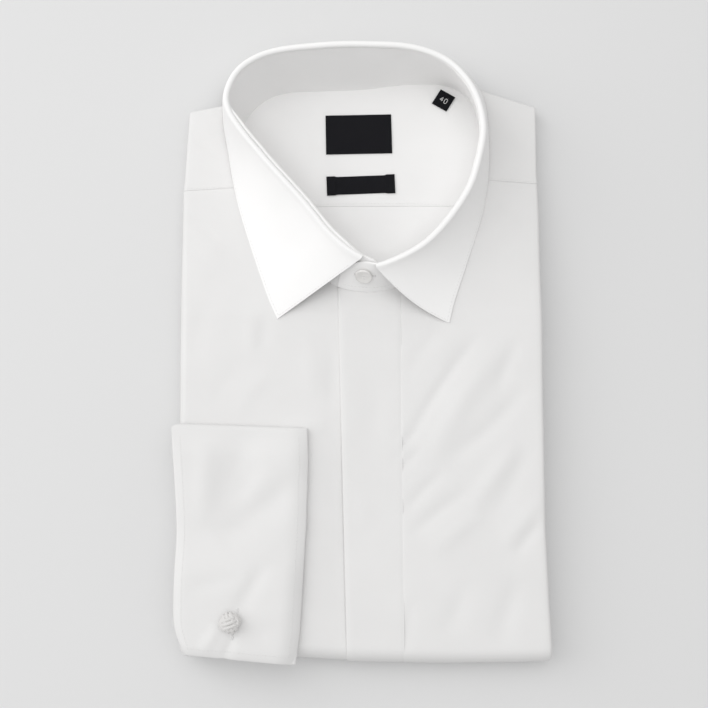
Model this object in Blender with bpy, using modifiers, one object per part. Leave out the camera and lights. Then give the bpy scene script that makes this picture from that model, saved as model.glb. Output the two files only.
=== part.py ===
"""Folded white dress shirt with a fly front, a standing collar ring and one link cuff.

All sizes are millimetres until a mesh is made. X runs across the shirt, Y towards its collar
and Z up from the surface that it lies on. The folded body is two slabs, one over the other,
joined by a turn at the hem end: the upper slab shows the front, the lower one the tail.
"""
import math

import bmesh
import bpy
from mathutils import Matrix, Vector

MM = 0.001

# Table frame to object origin: the middle of the bounding box's underside
ORIGIN_X = 3.9
ORIGIN_Y = 0.2

# Walls and the clearance that touching pieces keep
GAP = 0.3
PANEL = 1.0
STAND = 1.6
LEAF = 1.4
CUFF = 1.8
SLEEVE = 1.9
LABEL = 0.6
CORE_DEPTH = PANEL + GAP + 0.1
WELD = 0.02
HALVINGS = 40

# Folded body: a quarter of the stack's height, full up to the chest, then less to the back
HALF_BODY = 5.5
HALF_BACK = 2.1
CHEST_Y = 20.0
BACK_Y = 166.0

# Turn at the hem end
TURN_Y = -165.0
TURN_REACH = 7.5
TURN_STEPS = 6
BOW = 1.7
BOW_CENTRE_X = 38.0
BOW_HALF_WIDTH = 72.0
BOW_FADE_Y = -60.0

# Side edges of the body: place along the shirt, left edge, right edge
HIP_Y = -102.0
SIDE_EDGES = (
    (148.0, -97.6, 107.8),
    (97.0, -99.6, 107.0),
    (CHEST_Y, -98.6, 106.9),
    (HIP_Y, -97.6, 106.4),
    (-165.0, -95.6, 108.6),
)

# Shoulder line and the back's end under the collar: x, y
NORTH_EDGE = (
    (-97.0, 144.0),
    (-76.3, 148.2),
    (-48.0, 160.5),
    (-18.0, 163.5),
    (10.0, 165.0),
    (38.0, 166.2),
    (60.0, 163.0),
    (78.9, 156.2),
    (93.0, 151.9),
    (107.2, 147.0),
)

# Rows of the sheets that wrap the body, and the fronts' columns from the neck to the placket
FRONT_ROWS = (CHEST_Y, HIP_Y)
RIGHT_FRONT_SHARES = (0.33, 0.67)
LEFT_FRONT_SHARES = (0.3, 0.62, 0.85)
CHEST_STEPS = 4
PLACKET_CHEST_STEPS = 2
CHEST_ROW = 97.0
SHOULDER_Y = 148.0

# Rolled edges: how far each piece is turned round the slab's side, in degrees
ROLL_END = 135.0
ROLL_STEPS = 5
CORE_ROLL_END = 150.0
CORE_SHY = 0.8
CORNER_STEPS = 4

# Inner layers that show as a tongue between the two slabs
TONGUE_INSET = 1.6
TONGUE_ROUND = 0.3
TONGUE_SHARE = 0.22
SLOT_INSET = 0.3

# Yoke seams: on the front from the neck, dropping to the side edges; inside on the back
FRONT_SEAM_LEFT = 97.0
FRONT_SEAM_RIGHT = 101.5
FRONT_SEAM_DROP = 2.5
INNER_SEAM_Y = 85.6

# Yoke: places where its columns start on the collar ring and end on the shoulder line
YOKE_SIDE_ROW = 120.0
YOKE_LEFT_STATIONS = (3.6, 4.3)
YOKE_RIGHT_STATIONS = (11.45, 13.1)
YOKE_CORNER_SPREAD = 0.27
YOKE_BACK = (
    (5.9, 0.1),
    (6.5, 0.22),
    (7.1, 0.34),
    (7.8, 0.45),
    (8.7, 0.56),
    (9.5, 0.67),
    (10.3, 0.79),
    (11.0, 0.9),
)
YOKE_ROWS = 2

# Neck well: depth of the floor under the front, and the recess that makes room for it
FLOOR_DEPTH = 2.5
FLOOR_BACK_Y = 159.5
FLOOR_ROWS = 3
YOKE_FLOOR_STEPS = 16
BACK_FLOOR_STEPS = 12
RECESS = 2.4
RECESS_X = (-93.0, -76.0, 86.0, 101.0)
RECESS_Y = (CHEST_Y, 32.0, 159.0, 162.0)
CORE_ROWS = (FLOOR_BACK_Y, 146.0, CHEST_ROW, 64.0, 32.0, CHEST_Y, HIP_Y)
CORE_END_MARGIN = {FLOOR_BACK_Y: 1.0, 146.0: 9.0}
CORE_SHARES = (0.0, 0.095, 0.19, 0.29, 0.39, 0.5, 0.6, 0.7, 0.8, 0.905, 1.0)

# Fly placket: place along the shirt, left edge, right edge; height over the front at each
PLACKET_TOP_Y = 34.0
PLACKET_EDGES = (
    (PLACKET_TOP_Y, -9.0, 26.2),
    (TURN_Y, -3.8, 27.3),
)
PLACKET_RISE = 1.3
PLACKET_FLUSH = 0.4
PLACKET_TUCK = 0.6

# Collar ring, clockwise from the centre front as seen from above: name, outside of the
# leaf's fold x, y, z, seam between the stand and the body x, y
COLLAR_RING = (
    ("centre front", 9.2, 42.7, 45.0, 6.5, 34.5),
    ("left front", -11.6, 56.8, 45.5, -14.0, 40.0),
    ("left chest", -30.3, 78.9, 46.0, -32.0, 64.0),
    ("left neck", -53.7, 105.7, 46.0, -53.0, 90.0),
    ("left side", -70.6, 128.1, 46.0, -65.0, 110.0),
    ("left shoulder", -74.1, 141.6, 46.0, -68.0, 127.0),
    ("left back corner", -66.5, 158.1, 46.0, -63.0, 143.0),
    ("left back", -49.3, 168.4, 46.0, -47.0, 154.0),
    ("back left", -17.6, 172.9, 46.0, -18.4, 156.0),
    ("centre back", 7.1, 173.5, 46.0, 7.0, 157.5),
    ("back right", 34.6, 171.4, 46.0, 34.0, 160.5),
    ("right back", 54.9, 162.8, 46.0, 54.0, 157.0),
    ("right shoulder", 68.8, 146.3, 46.0, 68.5, 146.0),
    ("right side", 74.6, 125.3, 46.0, 74.5, 126.0),
    ("right neck", 72.0, 105.0, 46.0, 74.0, 103.0),
    ("right chest", 64.5, 83.9, 46.0, 65.5, 78.0),
    ("right front outer", 44.5, 57.7, 46.0, 48.0, 52.0),
    ("right front", 23.3, 44.6, 45.5, 27.0, 37.5),
)
RING = len(COLLAR_RING)
SEAM_MARGIN = 0.02
STATION_STEP = 0.05
LEFT_NECK_SPAN = (2.0, 5.0)
RIGHT_NECK_SPAN = (16.5, 13.0)

# Leaf: station on the collar ring, its free edge x, y, height over the body under it
LEAF_EDGE = (
    ("left point", 0.28, -43.5, 16.9, 1.5),
    ("left front", 1.0, -49.0, 29.5, 1.5),
    ("left chest", 2.0, -58.5, 57.0, 1.5),
    ("left neck", 3.0, -67.5, 87.0, 1.5),
    ("left side", 4.0, -73.6, 118.0, 1.5),
    ("left shoulder", 5.0, -77.0, 140.0, 1.5),
    ("left back corner", 6.0, -75.5, 158.0, -2.5),
    ("left back", 7.0, -55.5, 170.5, -4.5),
    ("back left", 8.0, -19.0, 172.0, -4.5),
    ("centre back", 9.0, 8.0, 172.2, -4.5),
    ("back right", 10.0, 37.0, 172.0, -4.5),
    ("right back", 11.0, 62.5, 167.5, -3.5),
    ("right back corner", 11.55, 72.0, 161.0, -0.5),
    ("right shoulder", 12.0, 76.8, 151.0, 1.5),
    ("right side", 13.0, 79.0, 128.0, 1.5),
    ("right neck", 14.0, 78.2, 103.5, 1.5),
    ("right chest", 15.0, 74.3, 81.0, 1.5),
    ("right front outer", 16.0, 64.8, 50.5, 1.5),
    ("right front", 17.0, 57.0, 27.0, 1.5),
    ("right point", 17.78, 53.9, 14.6, 1.5),
)
FOLD_RADIUS = 1.2
FOLD_LEG = 1.2
FOLD_STEPS = 4
LEAF_STEPS = 4
LEAF_COLUMNS = 44
LEAF_BULGE = 1.6

# Stand: its two ends lap at the centre front, the right-hand end outside
STAND_START = -0.75
STAND_END = 18.72
STAND_COLUMNS = 46
STAND_STEPS = 3
LAP_SHIFT = 0.98
LAP_FADE = 0.9
STAND_END_DROP = 0.36
STAND_CLEAR = 0.8
STAND_STEP_UP = 5.0
STAND_STEP_END = (PLACKET_TOP_Y + 4.0, PLACKET_TOP_Y + 12.0)

# Collar button
BUTTON_STATION = 0.12
BUTTON_UP = 0.6
BUTTON_RADIUS = 5.0
BUTTON_THICK = 2.2
BUTTON_SIDES = 20
BUTTON_PROFILE = (
    (0.0, 0.0),
    (0.82, 0.0),
    (1.0, 0.5),
    (0.96, 0.85),
    (0.89, 1.0),
    (0.73, 0.8),
    (0.0, 0.7),
)

# Cuff, seen from above: name, left x, y, right x, y, from the folded edge to the open edge
CUFF_ROWS = (
    ("folded edge", -100.8, -43.8, -26.9, -46.0),
    ("upper quarter", -97.7, -75.0, -27.2, -78.0),
    ("middle", -96.9, -106.0, -28.3, -110.0),
    ("lower quarter", -97.2, -137.0, -30.4, -142.0),
    ("open edge", -91.9, -168.1, -32.7, -173.8),
)
CUFF_COLUMNS = 4
CUFF_WALL_STEPS = 7
CUFF_FOLD_STEPS = 4
CUFF_LOWER_Z = 22.0 + GAP + CUFF / 2
CUFF_SPREAD = 4.0
CUFF_SPREAD_END = 0.6
CUFF_UNDER_X = -91.0
CUFF_LIFT = 3.8
CUFF_LIFT_START = 0.42
CUFF_LIFT_END = 0.7
CUFF_KISS = CUFF + GAP

# Sleeve: wraps the left edge from the gap between the slabs up to the cuff
SLEEVE_TOP_Y = -46.0
SLEEVE_BOTTOM_Y = -163.0
SLEEVE_END = 128.0

# Cuff link
LINK_X = -66.9
LINK_Y = -151.0
LINK_ACROSS = 0.4
KNOT_RADIUS = 6.2
KNOT_HEIGHT = 8.0
KNOT_PROFILE = (
    (0.72, 0.0),
    (0.93, 0.16),
    (1.0, 0.36),
    (0.93, 0.6),
    (0.74, 0.8),
    (0.4, 0.95),
    (0.0, 1.0),
)
SHANK_RADIUS = 1.5
UNDER_KNOT_RADIUS = 5.0
UNDER_KNOT_THICK = 3.0
UNDER_KNOT_PROFILE = (
    (0.0, 1.0),
    (0.8, 1.0),
    (1.0, 0.5),
    (0.8, 0.0),
)
LINK_SIDES = 16
HOLE_WIDTH = 3.6
HOLE_LENGTH = 14.0
HOLE_DEPTH = 30.0

# Labels on the inner yoke: centre x, y, width, length, turn in degrees
LABEL_LIFT = 0.4
LABEL_COLUMNS = 4
LABEL_ROWS = 3
LABELS = {
    "label_main": (2.8, 129.9, 39.0, 24.6, 1.2),
    "label_fit": (4.0, 98.2, 40.0, 11.0, 2.2),
    "label_size": (52.8, 148.9, 10.0, 10.5, -31.0),
}

# Colours: base colour, roughness
CLOTH = ((0.86, 0.855, 0.85, 1.0), 0.8)
CLOTH_UNDER = ((0.80, 0.79, 0.785, 1.0), 0.85)
LABEL_BLACK = ((0.018, 0.018, 0.024, 1.0), 0.6)
PEARL = ((0.88, 0.87, 0.85, 1.0), 0.25)
SILK = ((0.82, 0.81, 0.80, 1.0), 0.5)


def smooth(value):
    """Ease from 0 to 1 with flat ends."""
    t = min(1.0, max(0.0, value))
    return t * t * (3 - 2 * t)


def blend(a, b, t):
    return a + (b - a) * t


def table_at(rows, key):
    """Linear look-up by a table's first column; gives the other columns."""
    ordered = sorted(rows)
    if key <= ordered[0][0]:
        return ordered[0][1:]
    for low, high in zip(ordered, ordered[1:]):
        if key <= high[0]:
            t = (key - low[0]) / (high[0] - low[0])
            return tuple(blend(a, b, t) for a, b in zip(low[1:], high[1:]))
    return ordered[-1][1:]


def curve_through(points, closed=False):
    """Smooth curve through points, read at a fractional place in their list."""
    points = [Vector(p) for p in points]
    count = len(points)

    def point(i):
        return points[i % count] if closed else points[min(max(i, 0), count - 1)]

    def slope(i):
        before, after = point(i) - point(i - 1), point(i + 1) - point(i)
        span = before.length + after.length
        return (before + after) / span

    def at(place):
        i = math.floor(place) if closed else min(max(math.floor(place), 0), count - 2)
        t = place - i
        a, b = point(i), point(i + 1)
        chord = (b - a).length
        h00, h10 = 2 * t**3 - 3 * t**2 + 1, t**3 - 2 * t**2 + t
        h01, h11 = 3 * t**2 - 2 * t**3, t**3 - t**2
        return h00 * a + h10 * chord * slope(i) + h01 * b + h11 * chord * slope(i + 1)

    return at


def half(y):
    """Half of one slab's thickness."""
    return blend(HALF_BODY, HALF_BACK, min(1.0, max(0.0, (y - CHEST_Y) / (BACK_Y - CHEST_Y))))


def top_z(y):
    return 4 * half(y)


def reach(thickness):
    """How far a slab's rolled edge stands out past its flat part."""
    return 1.0 + 0.5 * thickness


def bow(x, y):
    """The hem end is a little longer right of the placket than at its corners."""
    sag = BOW * max(-1.0, 1 - ((x - BOW_CENTRE_X) / BOW_HALF_WIDTH) ** 2)
    return -sag * smooth((BOW_FADE_Y - y) / (BOW_FADE_Y - TURN_Y))


def left_x(y):
    return table_at(SIDE_EDGES, y)[0] + reach(half(y))


def right_x(y):
    return table_at(SIDE_EDGES, y)[1] - reach(half(y))


def north_y(x):
    """Flat part's end towards the collar."""
    y = table_at(NORTH_EDGE, x)[0]
    return y - reach(half(y))


def fold_path(s, x):
    """Middle of a slab at s along the fold: before the turn s < 0, after it s > turn length.

    Gives the place in the YZ plane, the run and the outward direction, and the turn's angle.
    """
    length = math.pi * HALF_BODY
    if s <= 0:
        y = TURN_Y - s
        return Vector((x, y + bow(x, y), 3 * half(y))), Vector((0, -1, 0)), Vector((0, 0, 1)), None
    if s >= length:
        y = TURN_Y + s - length
        return Vector((x, y + bow(x, y), half(y))), Vector((0, 1, 0)), Vector((0, 0, -1)), None
    return Vector((x, TURN_Y + bow(x, TURN_Y), 2 * HALF_BODY)), None, None, s / HALF_BODY


def slab_point(x, s, heading, out, rise, depth):
    """A point round a slab's flat middle at (x, s).

    heading is the horizontal direction (across, along the fold) that a rolled edge turns to,
    out the distance that way, rise the distance from the slab's middle towards its outside.
    """
    base, run, up, angle = fold_path(s, x)
    across, along = heading
    if angle is None:
        return base + Vector((across * out, 0, 0)) + run * along * out + up * rise
    radius = HALF_BODY + rise
    stretch = (TURN_REACH - depth) / (2 * HALF_BODY - depth)
    return base + Vector((across * out, -radius * stretch * math.sin(angle), radius * math.cos(angle)))


def along(y):
    """Place on the fold path of a point on the upper slab."""
    return TURN_Y - y


def under(y):
    """Place on the fold path of a point on the lower slab."""
    return math.pi * HALF_BODY + y - TURN_Y


def rolled(thickness, degrees, depth):
    """Distance out and rise of a point on a rolled edge."""
    angle = math.radians(degrees)
    return (reach(thickness) - depth) * math.sin(angle), (thickness - depth) * math.cos(angle)


def corner_heading(i, j):
    """Direction in a corner where the i-th step across meets the j-th step along."""
    if i == 0 and j == 0:
        return 0.0, 0.0
    if abs(i) >= abs(j):
        angle = math.radians(45 * j / abs(i))
    else:
        angle = math.radians(90 - 45 * abs(i) / abs(j)) * (1 if j > 0 else -1)
    return math.copysign(math.cos(angle), i) if i else 0.0, math.sin(angle)


def material(name, look):
    colour, roughness = look
    mat = bpy.data.materials.new(name)
    mat.use_nodes = True
    shader = mat.node_tree.nodes["Principled BSDF"]
    shader.inputs["Base Color"].default_value = colour
    shader.inputs["Roughness"].default_value = roughness
    shader.inputs["Metallic"].default_value = 0.0
    return mat


def add_object(name, mesh, look, shirt, collection):
    """Put a mesh in the shirt's collection with a material of its own."""
    obj = bpy.data.objects.new(name, mesh)
    obj.data.materials.append(material(name, look))
    obj.parent = shirt
    collection.objects.link(obj)
    return obj


def finish_mesh(name, bm):
    """Turn a closed mesh's faces outwards, shade it smooth and make it a mesh block."""
    if all(edge.is_manifold for edge in bm.edges) and bm.calc_volume(signed=True) < 0:
        bmesh.ops.reverse_faces(bm, faces=bm.faces)
    mesh = bpy.data.meshes.new(name)
    bm.to_mesh(mesh)
    bm.free()
    mesh.shade_smooth()
    return mesh


def grid_mesh(name, columns, rows, place):
    """A grid of columns x rows faces with each corner moved to place(i, j), in mm."""
    bm = bmesh.new()
    bmesh.ops.create_grid(bm, x_segments=columns, y_segments=rows, size=0.5)
    for vert in bm.verts:
        i = round((vert.co.x + 0.5) * columns)
        j = round((vert.co.y + 0.5) * rows)
        vert.co = place(i, j) * MM
    bmesh.ops.remove_doubles(bm, verts=bm.verts, dist=WELD * MM)
    return finish_mesh(name, bm)


def thicken(obj, thickness, offset):
    """Give an open sheet its wall: offset -1 keeps the outside, 0 the middle."""
    solid = obj.modifiers.new("wall", "SOLIDIFY")
    solid.thickness = thickness * MM
    solid.offset = offset
    solid.use_even_offset = True


def slab_mesh(name, columns, rows, outside, inside):
    """A closed wall between two matching grids, each placed by its own function, in mm."""
    bm = bmesh.new()
    bmesh.ops.create_grid(bm, x_segments=columns, y_segments=rows, size=0.5)
    extruded = bmesh.ops.extrude_face_region(bm, geom=bm.faces[:])["geom"]
    raised = [item for item in extruded if isinstance(item, bmesh.types.BMVert)]
    bmesh.ops.translate(bm, verts=raised, vec=(0, 0, 1))
    for vert in bm.verts:
        i, j = round((vert.co.x + 0.5) * columns), round((vert.co.y + 0.5) * rows)
        vert.co = (outside if vert.co.z > 0.5 else inside)(i, j) * MM
    bmesh.ops.recalc_face_normals(bm, faces=bm.faces)
    return finish_mesh(name, bm)


def strip_columns(flat):
    """Columns of a front panel: rolled steps first, then the flat part's shares."""
    return [("roll", ROLL_STEPS - k) for k in range(ROLL_STEPS)] + [("flat", share) for share in flat]


def body_rows(chest):
    """Rows down the chest and front, round the turn, up the underside, into the rolled end."""
    rows = [("chest", k / chest) for k in range(chest)]
    rows += [("front", y) for y in FRONT_ROWS]
    rows += [("turn", k / TURN_STEPS) for k in range(TURN_STEPS)]
    rows += [("tail", y) for y in reversed((CHEST_ROW, *FRONT_ROWS, TURN_Y))]
    return rows + [("roll", k) for k in range(ROLL_STEPS + 1)]


def body_sheet(columns, rows, start_y, flat_x, side, depth):
    """Place function of a sheet that follows the fold from the chest to the rolled-in tail.

    side is -1 or 1 for the edge that rolls, 0 for none; flat_x(share, y) gives the flat x.
    """

    def place(i, j):
        kind, step = columns[i]
        share = 0.0 if kind == "roll" else step
        row, value = rows[j]
        y = {"chest": CHEST_Y, "turn": TURN_Y, "roll": north_y(flat_x(share, SHOULDER_Y))}.get(row, value)
        if row == "chest":
            for _ in range(3):
                y = blend(start_y(flat_x(share, y)), CHEST_Y, value)
        s = under(y) if row in ("tail", "roll") else along(y)
        if row == "turn":
            s = math.pi * HALF_BODY * value
        x = flat_x(share, y)
        across = side * step if kind == "roll" else 0
        ahead = value if row == "roll" else 0
        steps = max(abs(across), ahead)
        out, rise = rolled(half(y), ROLL_END * steps / ROLL_STEPS, depth)
        return slab_point(x, s, corner_heading(across, ahead), out, rise, depth)

    return place


def ring_curves():
    fold = curve_through([row[1:4] for row in COLLAR_RING], closed=True)
    seam = curve_through([(row[4], row[5], 0.0) for row in COLLAR_RING], closed=True)
    return fold, seam


fold_at, seam_flat = ring_curves()


def seam_at(u):
    """Seam between the stand and the body, on the body's outside."""
    point = seam_flat(u)
    return Vector((point.x, point.y, top_z(point.y)))


def outward(u):
    """Horizontal direction out of the collar ring at its fold."""
    run = fold_at(u + STATION_STEP) - fold_at(u - STATION_STEP)
    return Vector((-run.y, run.x, 0)).normalized()


def seam_outward(u):
    run = seam_flat(u + STATION_STEP) - seam_flat(u - STATION_STEP)
    return Vector((-run.y, run.x, 0)).normalized()


def station_where(low, high, test):
    """Station between low and high where test changes from true to false."""
    for _ in range(HALVINGS):
        middle = (low + high) / 2
        if test(seam_flat(middle)):
            low = middle
        else:
            high = middle
    return low


NECK_LEFT = station_where(*LEFT_NECK_SPAN, lambda p: p.y < FRONT_SEAM_LEFT)
NECK_RIGHT = station_where(*RIGHT_NECK_SPAN, lambda p: p.y < FRONT_SEAM_RIGHT)
NECK_LEFT_X = seam_flat(NECK_LEFT).x
NECK_RIGHT_X = seam_flat(NECK_RIGHT).x


def share_between(value, low, high):
    return (value - low) / (high - low)


def left_neck_y(x):
    """Top of the left-hand front: yoke seam, then the neckline down to the placket."""
    if x <= NECK_LEFT_X:
        share = share_between(x, NECK_LEFT_X, left_x(FRONT_SEAM_LEFT))
        return FRONT_SEAM_LEFT - FRONT_SEAM_DROP * share
    return seam_flat(station_where(0.0, NECK_LEFT, lambda p: p.x > x)).y


def right_neck_y(x):
    if x >= NECK_RIGHT_X:
        share = share_between(x, NECK_RIGHT_X, right_x(FRONT_SEAM_RIGHT))
        return FRONT_SEAM_RIGHT - FRONT_SEAM_DROP * share
    return seam_flat(station_where(RING, NECK_RIGHT, lambda p: p.x < x)).y


def placket_x(y):
    """Left edge of the fly placket."""
    return table_at(PLACKET_EDGES, y)[0]


def placket_right_x(y):
    return table_at(PLACKET_EDGES, y)[1]


def build_front_right(shirt, parts):
    """Viewer's left front: wraps the left edge, ends at the placket."""
    neck = share_between(NECK_LEFT_X, left_x(FRONT_SEAM_LEFT), placket_x(PLACKET_TOP_Y))
    below = [blend(neck, 1, share) for share in RIGHT_FRONT_SHARES]
    columns = strip_columns((0.0, neck * 0.5, neck, *below, 1.0))
    rows = body_rows(CHEST_STEPS)

    def flat_x(share, y):
        return blend(left_x(y), placket_x(y) - GAP, share)

    place = body_sheet(columns, rows, left_neck_y, flat_x, -1, 0.0)
    mesh = grid_mesh("front_right", len(columns) - 1, len(rows) - 1, place)
    front = add_object("front_right", mesh, CLOTH, shirt, parts)
    thicken(front, PANEL, 1.0)


def build_front_left(shirt, parts):
    """Viewer's right front: rises to the placket, wraps the right edge."""
    neck = share_between(NECK_RIGHT_X, right_x(FRONT_SEAM_RIGHT), placket_right_x(PLACKET_TOP_Y))
    below = [blend(neck, 1, share) for share in LEFT_FRONT_SHARES]
    columns = strip_columns((0.0, neck, *below, 1.0))
    rows = body_rows(CHEST_STEPS)

    def flat_x(share, y):
        return blend(right_x(y), placket_right_x(y) + GAP, share)

    place = body_sheet(columns, rows, right_neck_y, flat_x, 1, 0.0)
    mesh = grid_mesh("front_left", len(columns) - 1, len(rows) - 1, place)
    front = add_object("front_left", mesh, CLOTH, shirt, parts)
    thicken(front, PANEL, -1.0)


def build_fly_placket(shirt, parts):
    """Strip down the centre front: its left edge stands proud, its tail end lies flush."""
    columns = [("flat", share) for share in (0.0, 0.5, 1.0)]
    rows = body_rows(PLACKET_CHEST_STEPS)

    def flat_x(share, y):
        return blend(placket_x(y), placket_right_x(y), share)

    def surface(outside):
        def place(i, j):
            kind, value = rows[j]
            proud = {"chest": 1.0, "front": 1.0, "turn": 1.0 - value}.get(kind, 0.0)
            rise = blend(PLACKET_RISE, PLACKET_FLUSH, columns[i][1])
            depth = -rise * smooth(proud) if outside else PANEL
            sheet = body_sheet(columns, rows, lambda x: PLACKET_TOP_Y + PLACKET_TUCK, flat_x, 0, depth)
            return sheet(i, j)

        return place

    mesh = slab_mesh("fly_placket", len(columns) - 1, len(rows) - 1, surface(True), surface(False))
    add_object("fly_placket", mesh, CLOTH, shirt, parts)


def core_profile(thickness):
    """Distance out and rise round the core's edge, from the flat to the tongue's tip."""
    tongue = thickness * (1 - TONGUE_SHARE / 2)
    tip = reach(thickness) - TONGUE_INSET
    rounds = [rolled(thickness, CORE_ROLL_END * k / ROLL_STEPS, CORE_DEPTH) for k in range(ROLL_STEPS + 1)]
    share = 1 - CORE_SHY / (reach(thickness) - CORE_DEPTH)
    rounds = [(out * share, rise) for out, rise in rounds]
    return rounds + [(SLOT_INSET, -tongue), (tip - TONGUE_ROUND, -tongue), (tip, -thickness)]


def recess(x, y):
    """How far the core steps down for the neck well."""
    left, right = RECESS_X[:2], RECESS_X[2:]
    across = smooth((x - left[0]) / (left[1] - left[0])) * smooth((right[1] - x) / (right[1] - right[0]))
    low, high = RECESS_Y[:2], RECESS_Y[2:]
    ahead = smooth((y - low[0]) / (low[1] - low[0])) * smooth((high[1] - y) / (high[1] - high[0]))
    return RECESS * across * ahead


def build_folded_layers(shirt, parts):
    """All hidden layers as one solid, with a groove and an inner layer's edge round it."""
    edge = len(core_profile(HALF_BODY)) - 1
    columns = [(-1, edge - k, 0.0) for k in range(edge)]
    columns += [(0, 0, share) for share in CORE_SHARES]
    columns += [(1, k + 1, 1.0) for k in range(edge)]
    rows = [("north", edge - k) for k in range(edge + 1)]
    rows += [("front", y) for y in CORE_ROWS]
    rows += [("turn", k / TURN_STEPS) for k in range(TURN_STEPS)]
    rows += [("tail", y) for y in (TURN_Y, *reversed(CORE_ROWS))]
    rows += [("end", k) for k in range(edge + 1)]

    def place(i, j):
        side, step, share = columns[i]
        row, value = rows[j]
        end_y = north_y(blend(left_x(SHOULDER_Y), right_x(SHOULDER_Y), share))
        y = {"north": end_y, "turn": TURN_Y, "end": end_y}.get(row, value)
        if row in ("front", "tail"):
            y = min(y, end_y - CORE_END_MARGIN.get(value, 0.0))
        x = blend(left_x(y), right_x(y), share)
        s = along(y) if row in ("north", "front") else under(y)
        if row == "turn":
            s = math.pi * HALF_BODY * value
        ahead = {"north": -value, "end": value}.get(row, 0)
        steps = max(step, abs(ahead))
        out, rise = core_profile(half(y))[steps]
        if row == "front" and step == 0:
            rise -= recess(x, y)
        return slab_point(x, s, corner_heading(side * step, ahead), out, rise, CORE_DEPTH)

    mesh = grid_mesh("folded_layers", len(columns) - 1, len(rows) - 1, place)
    add_object("folded_layers", mesh, CLOTH_UNDER, shirt, parts)


def yoke_edge():
    """Outer line of the yoke from the left front seam round to the right: flat place, heading."""
    corner_left = (left_x(SHOULDER_Y), north_y(left_x(SHOULDER_Y)))
    corner_right = (right_x(SHOULDER_Y), north_y(right_x(SHOULDER_Y)))
    turns = [math.radians(90 * k / CORNER_STEPS) for k in range(CORNER_STEPS + 1)]
    ends = [seam - FRONT_SEAM_DROP + GAP for seam in (FRONT_SEAM_LEFT, FRONT_SEAM_RIGHT)]
    line = [(left_x(y), y, (-1.0, 0.0)) for y in (ends[0], YOKE_SIDE_ROW)]
    line += [(*corner_left, (-math.cos(a), math.sin(a))) for a in turns]
    for _, share in YOKE_BACK:
        x = blend(corner_left[0], corner_right[0], share)
        line.append((x, north_y(x), (0.0, 1.0)))
    line += [(*corner_right, (math.sin(a), math.cos(a))) for a in turns]
    line += [(right_x(y), y, (1.0, 0.0)) for y in (YOKE_SIDE_ROW, ends[1])]
    return line


def yoke_stations():
    """Place on the collar ring where each of the yoke's columns starts."""
    steps = [YOKE_CORNER_SPREAD * k for k in range(CORNER_STEPS + 1)]
    left_side, left_corner = YOKE_LEFT_STATIONS
    right_corner, right_side = YOKE_RIGHT_STATIONS
    stations = [NECK_LEFT + SEAM_MARGIN, left_side]
    stations += [left_corner + step for step in steps]
    stations += [station for station, _ in YOKE_BACK]
    stations += [right_corner + step for step in steps]
    return stations + [right_side, NECK_RIGHT - SEAM_MARGIN]


def build_yoke_outer(shirt, parts):
    """Both shoulders and the back below the stand, rolled over the shoulder line."""
    line, stations = yoke_edge(), yoke_stations()

    def place(i, j):
        x, y, heading = line[i]
        if j <= YOKE_ROWS:
            inner = seam_flat(stations[i])
            x, y = blend(inner.x, x, j / YOKE_ROWS), blend(inner.y, y, j / YOKE_ROWS)
            return Vector((x, y, top_z(y)))
        out, rise = rolled(half(y), ROLL_END * (j - YOKE_ROWS) / ROLL_STEPS, 0.0)
        across, ahead = heading
        return Vector((x + across * out, y + ahead * out, 3 * half(y) + rise))

    mesh = grid_mesh("yoke_outer", len(line) - 1, YOKE_ROWS + ROLL_STEPS, place)
    yoke = add_object("yoke_outer", mesh, CLOTH, shirt, parts)
    thicken(yoke, PANEL, -1.0)


def floor_point(x, y, lift=0.0):
    """A point on the neck well's floor."""
    return Vector((x, y, top_z(y) - FLOOR_DEPTH + lift))


def neck_inside(u):
    """The floor pieces' outline, just inside the stand."""
    return seam_flat(u) - seam_outward(u) * (STAND / 2 + GAP)


def floor_piece(name, start, stop, line_y, steps, shirt, parts):
    """A floor piece between a straight seam across and the neckline from start to stop."""
    first, last = neck_inside(start), neck_inside(stop)

    def place(i, j):
        share = i / steps
        outline = neck_inside(blend(start, stop, share))
        x = blend(blend(first.x, last.x, share), outline.x, j / FLOOR_ROWS)
        y = blend(line_y, outline.y, j / FLOOR_ROWS)
        return floor_point(x, y)

    mesh = grid_mesh(name, steps, FLOOR_ROWS, place)
    piece = add_object(name, mesh, CLOTH, shirt, parts)
    thicken(piece, PANEL, -1.0)


def build_neck_floor(shirt, parts):
    """Inner yoke and back, lying in the neck well on both sides of their seam."""
    left = station_where(*LEFT_NECK_SPAN, lambda p: p.y < INNER_SEAM_Y) + SEAM_MARGIN
    right = station_where(*RIGHT_NECK_SPAN, lambda p: p.y < INNER_SEAM_Y) - SEAM_MARGIN
    floor_piece("yoke_inner", left, right, INNER_SEAM_Y + GAP, YOKE_FLOOR_STEPS, shirt, parts)
    left, right = left + RING - 2 * SEAM_MARGIN, right + 2 * SEAM_MARGIN
    floor_piece("back_panel", left, right, INNER_SEAM_Y, BACK_FLOOR_STEPS, shirt, parts)


def lap(u):
    """The stand's two ends pass each other at the centre front: sideways shift, outwards."""
    inside = smooth((LAP_FADE - u) / LAP_FADE)
    outside = smooth((u - (RING - LAP_FADE)) / LAP_FADE)
    return LAP_SHIFT * (outside - inside)


def placket_rise(x, y):
    """How far the stand's foot steps up over the placket's top end."""
    share = min(x - placket_x(y), placket_right_x(y) - x) / STAND_STEP_UP + 1
    low, high = STAND_STEP_END
    return PLACKET_RISE * smooth(share) * smooth((high - y) / (high - low))


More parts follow.
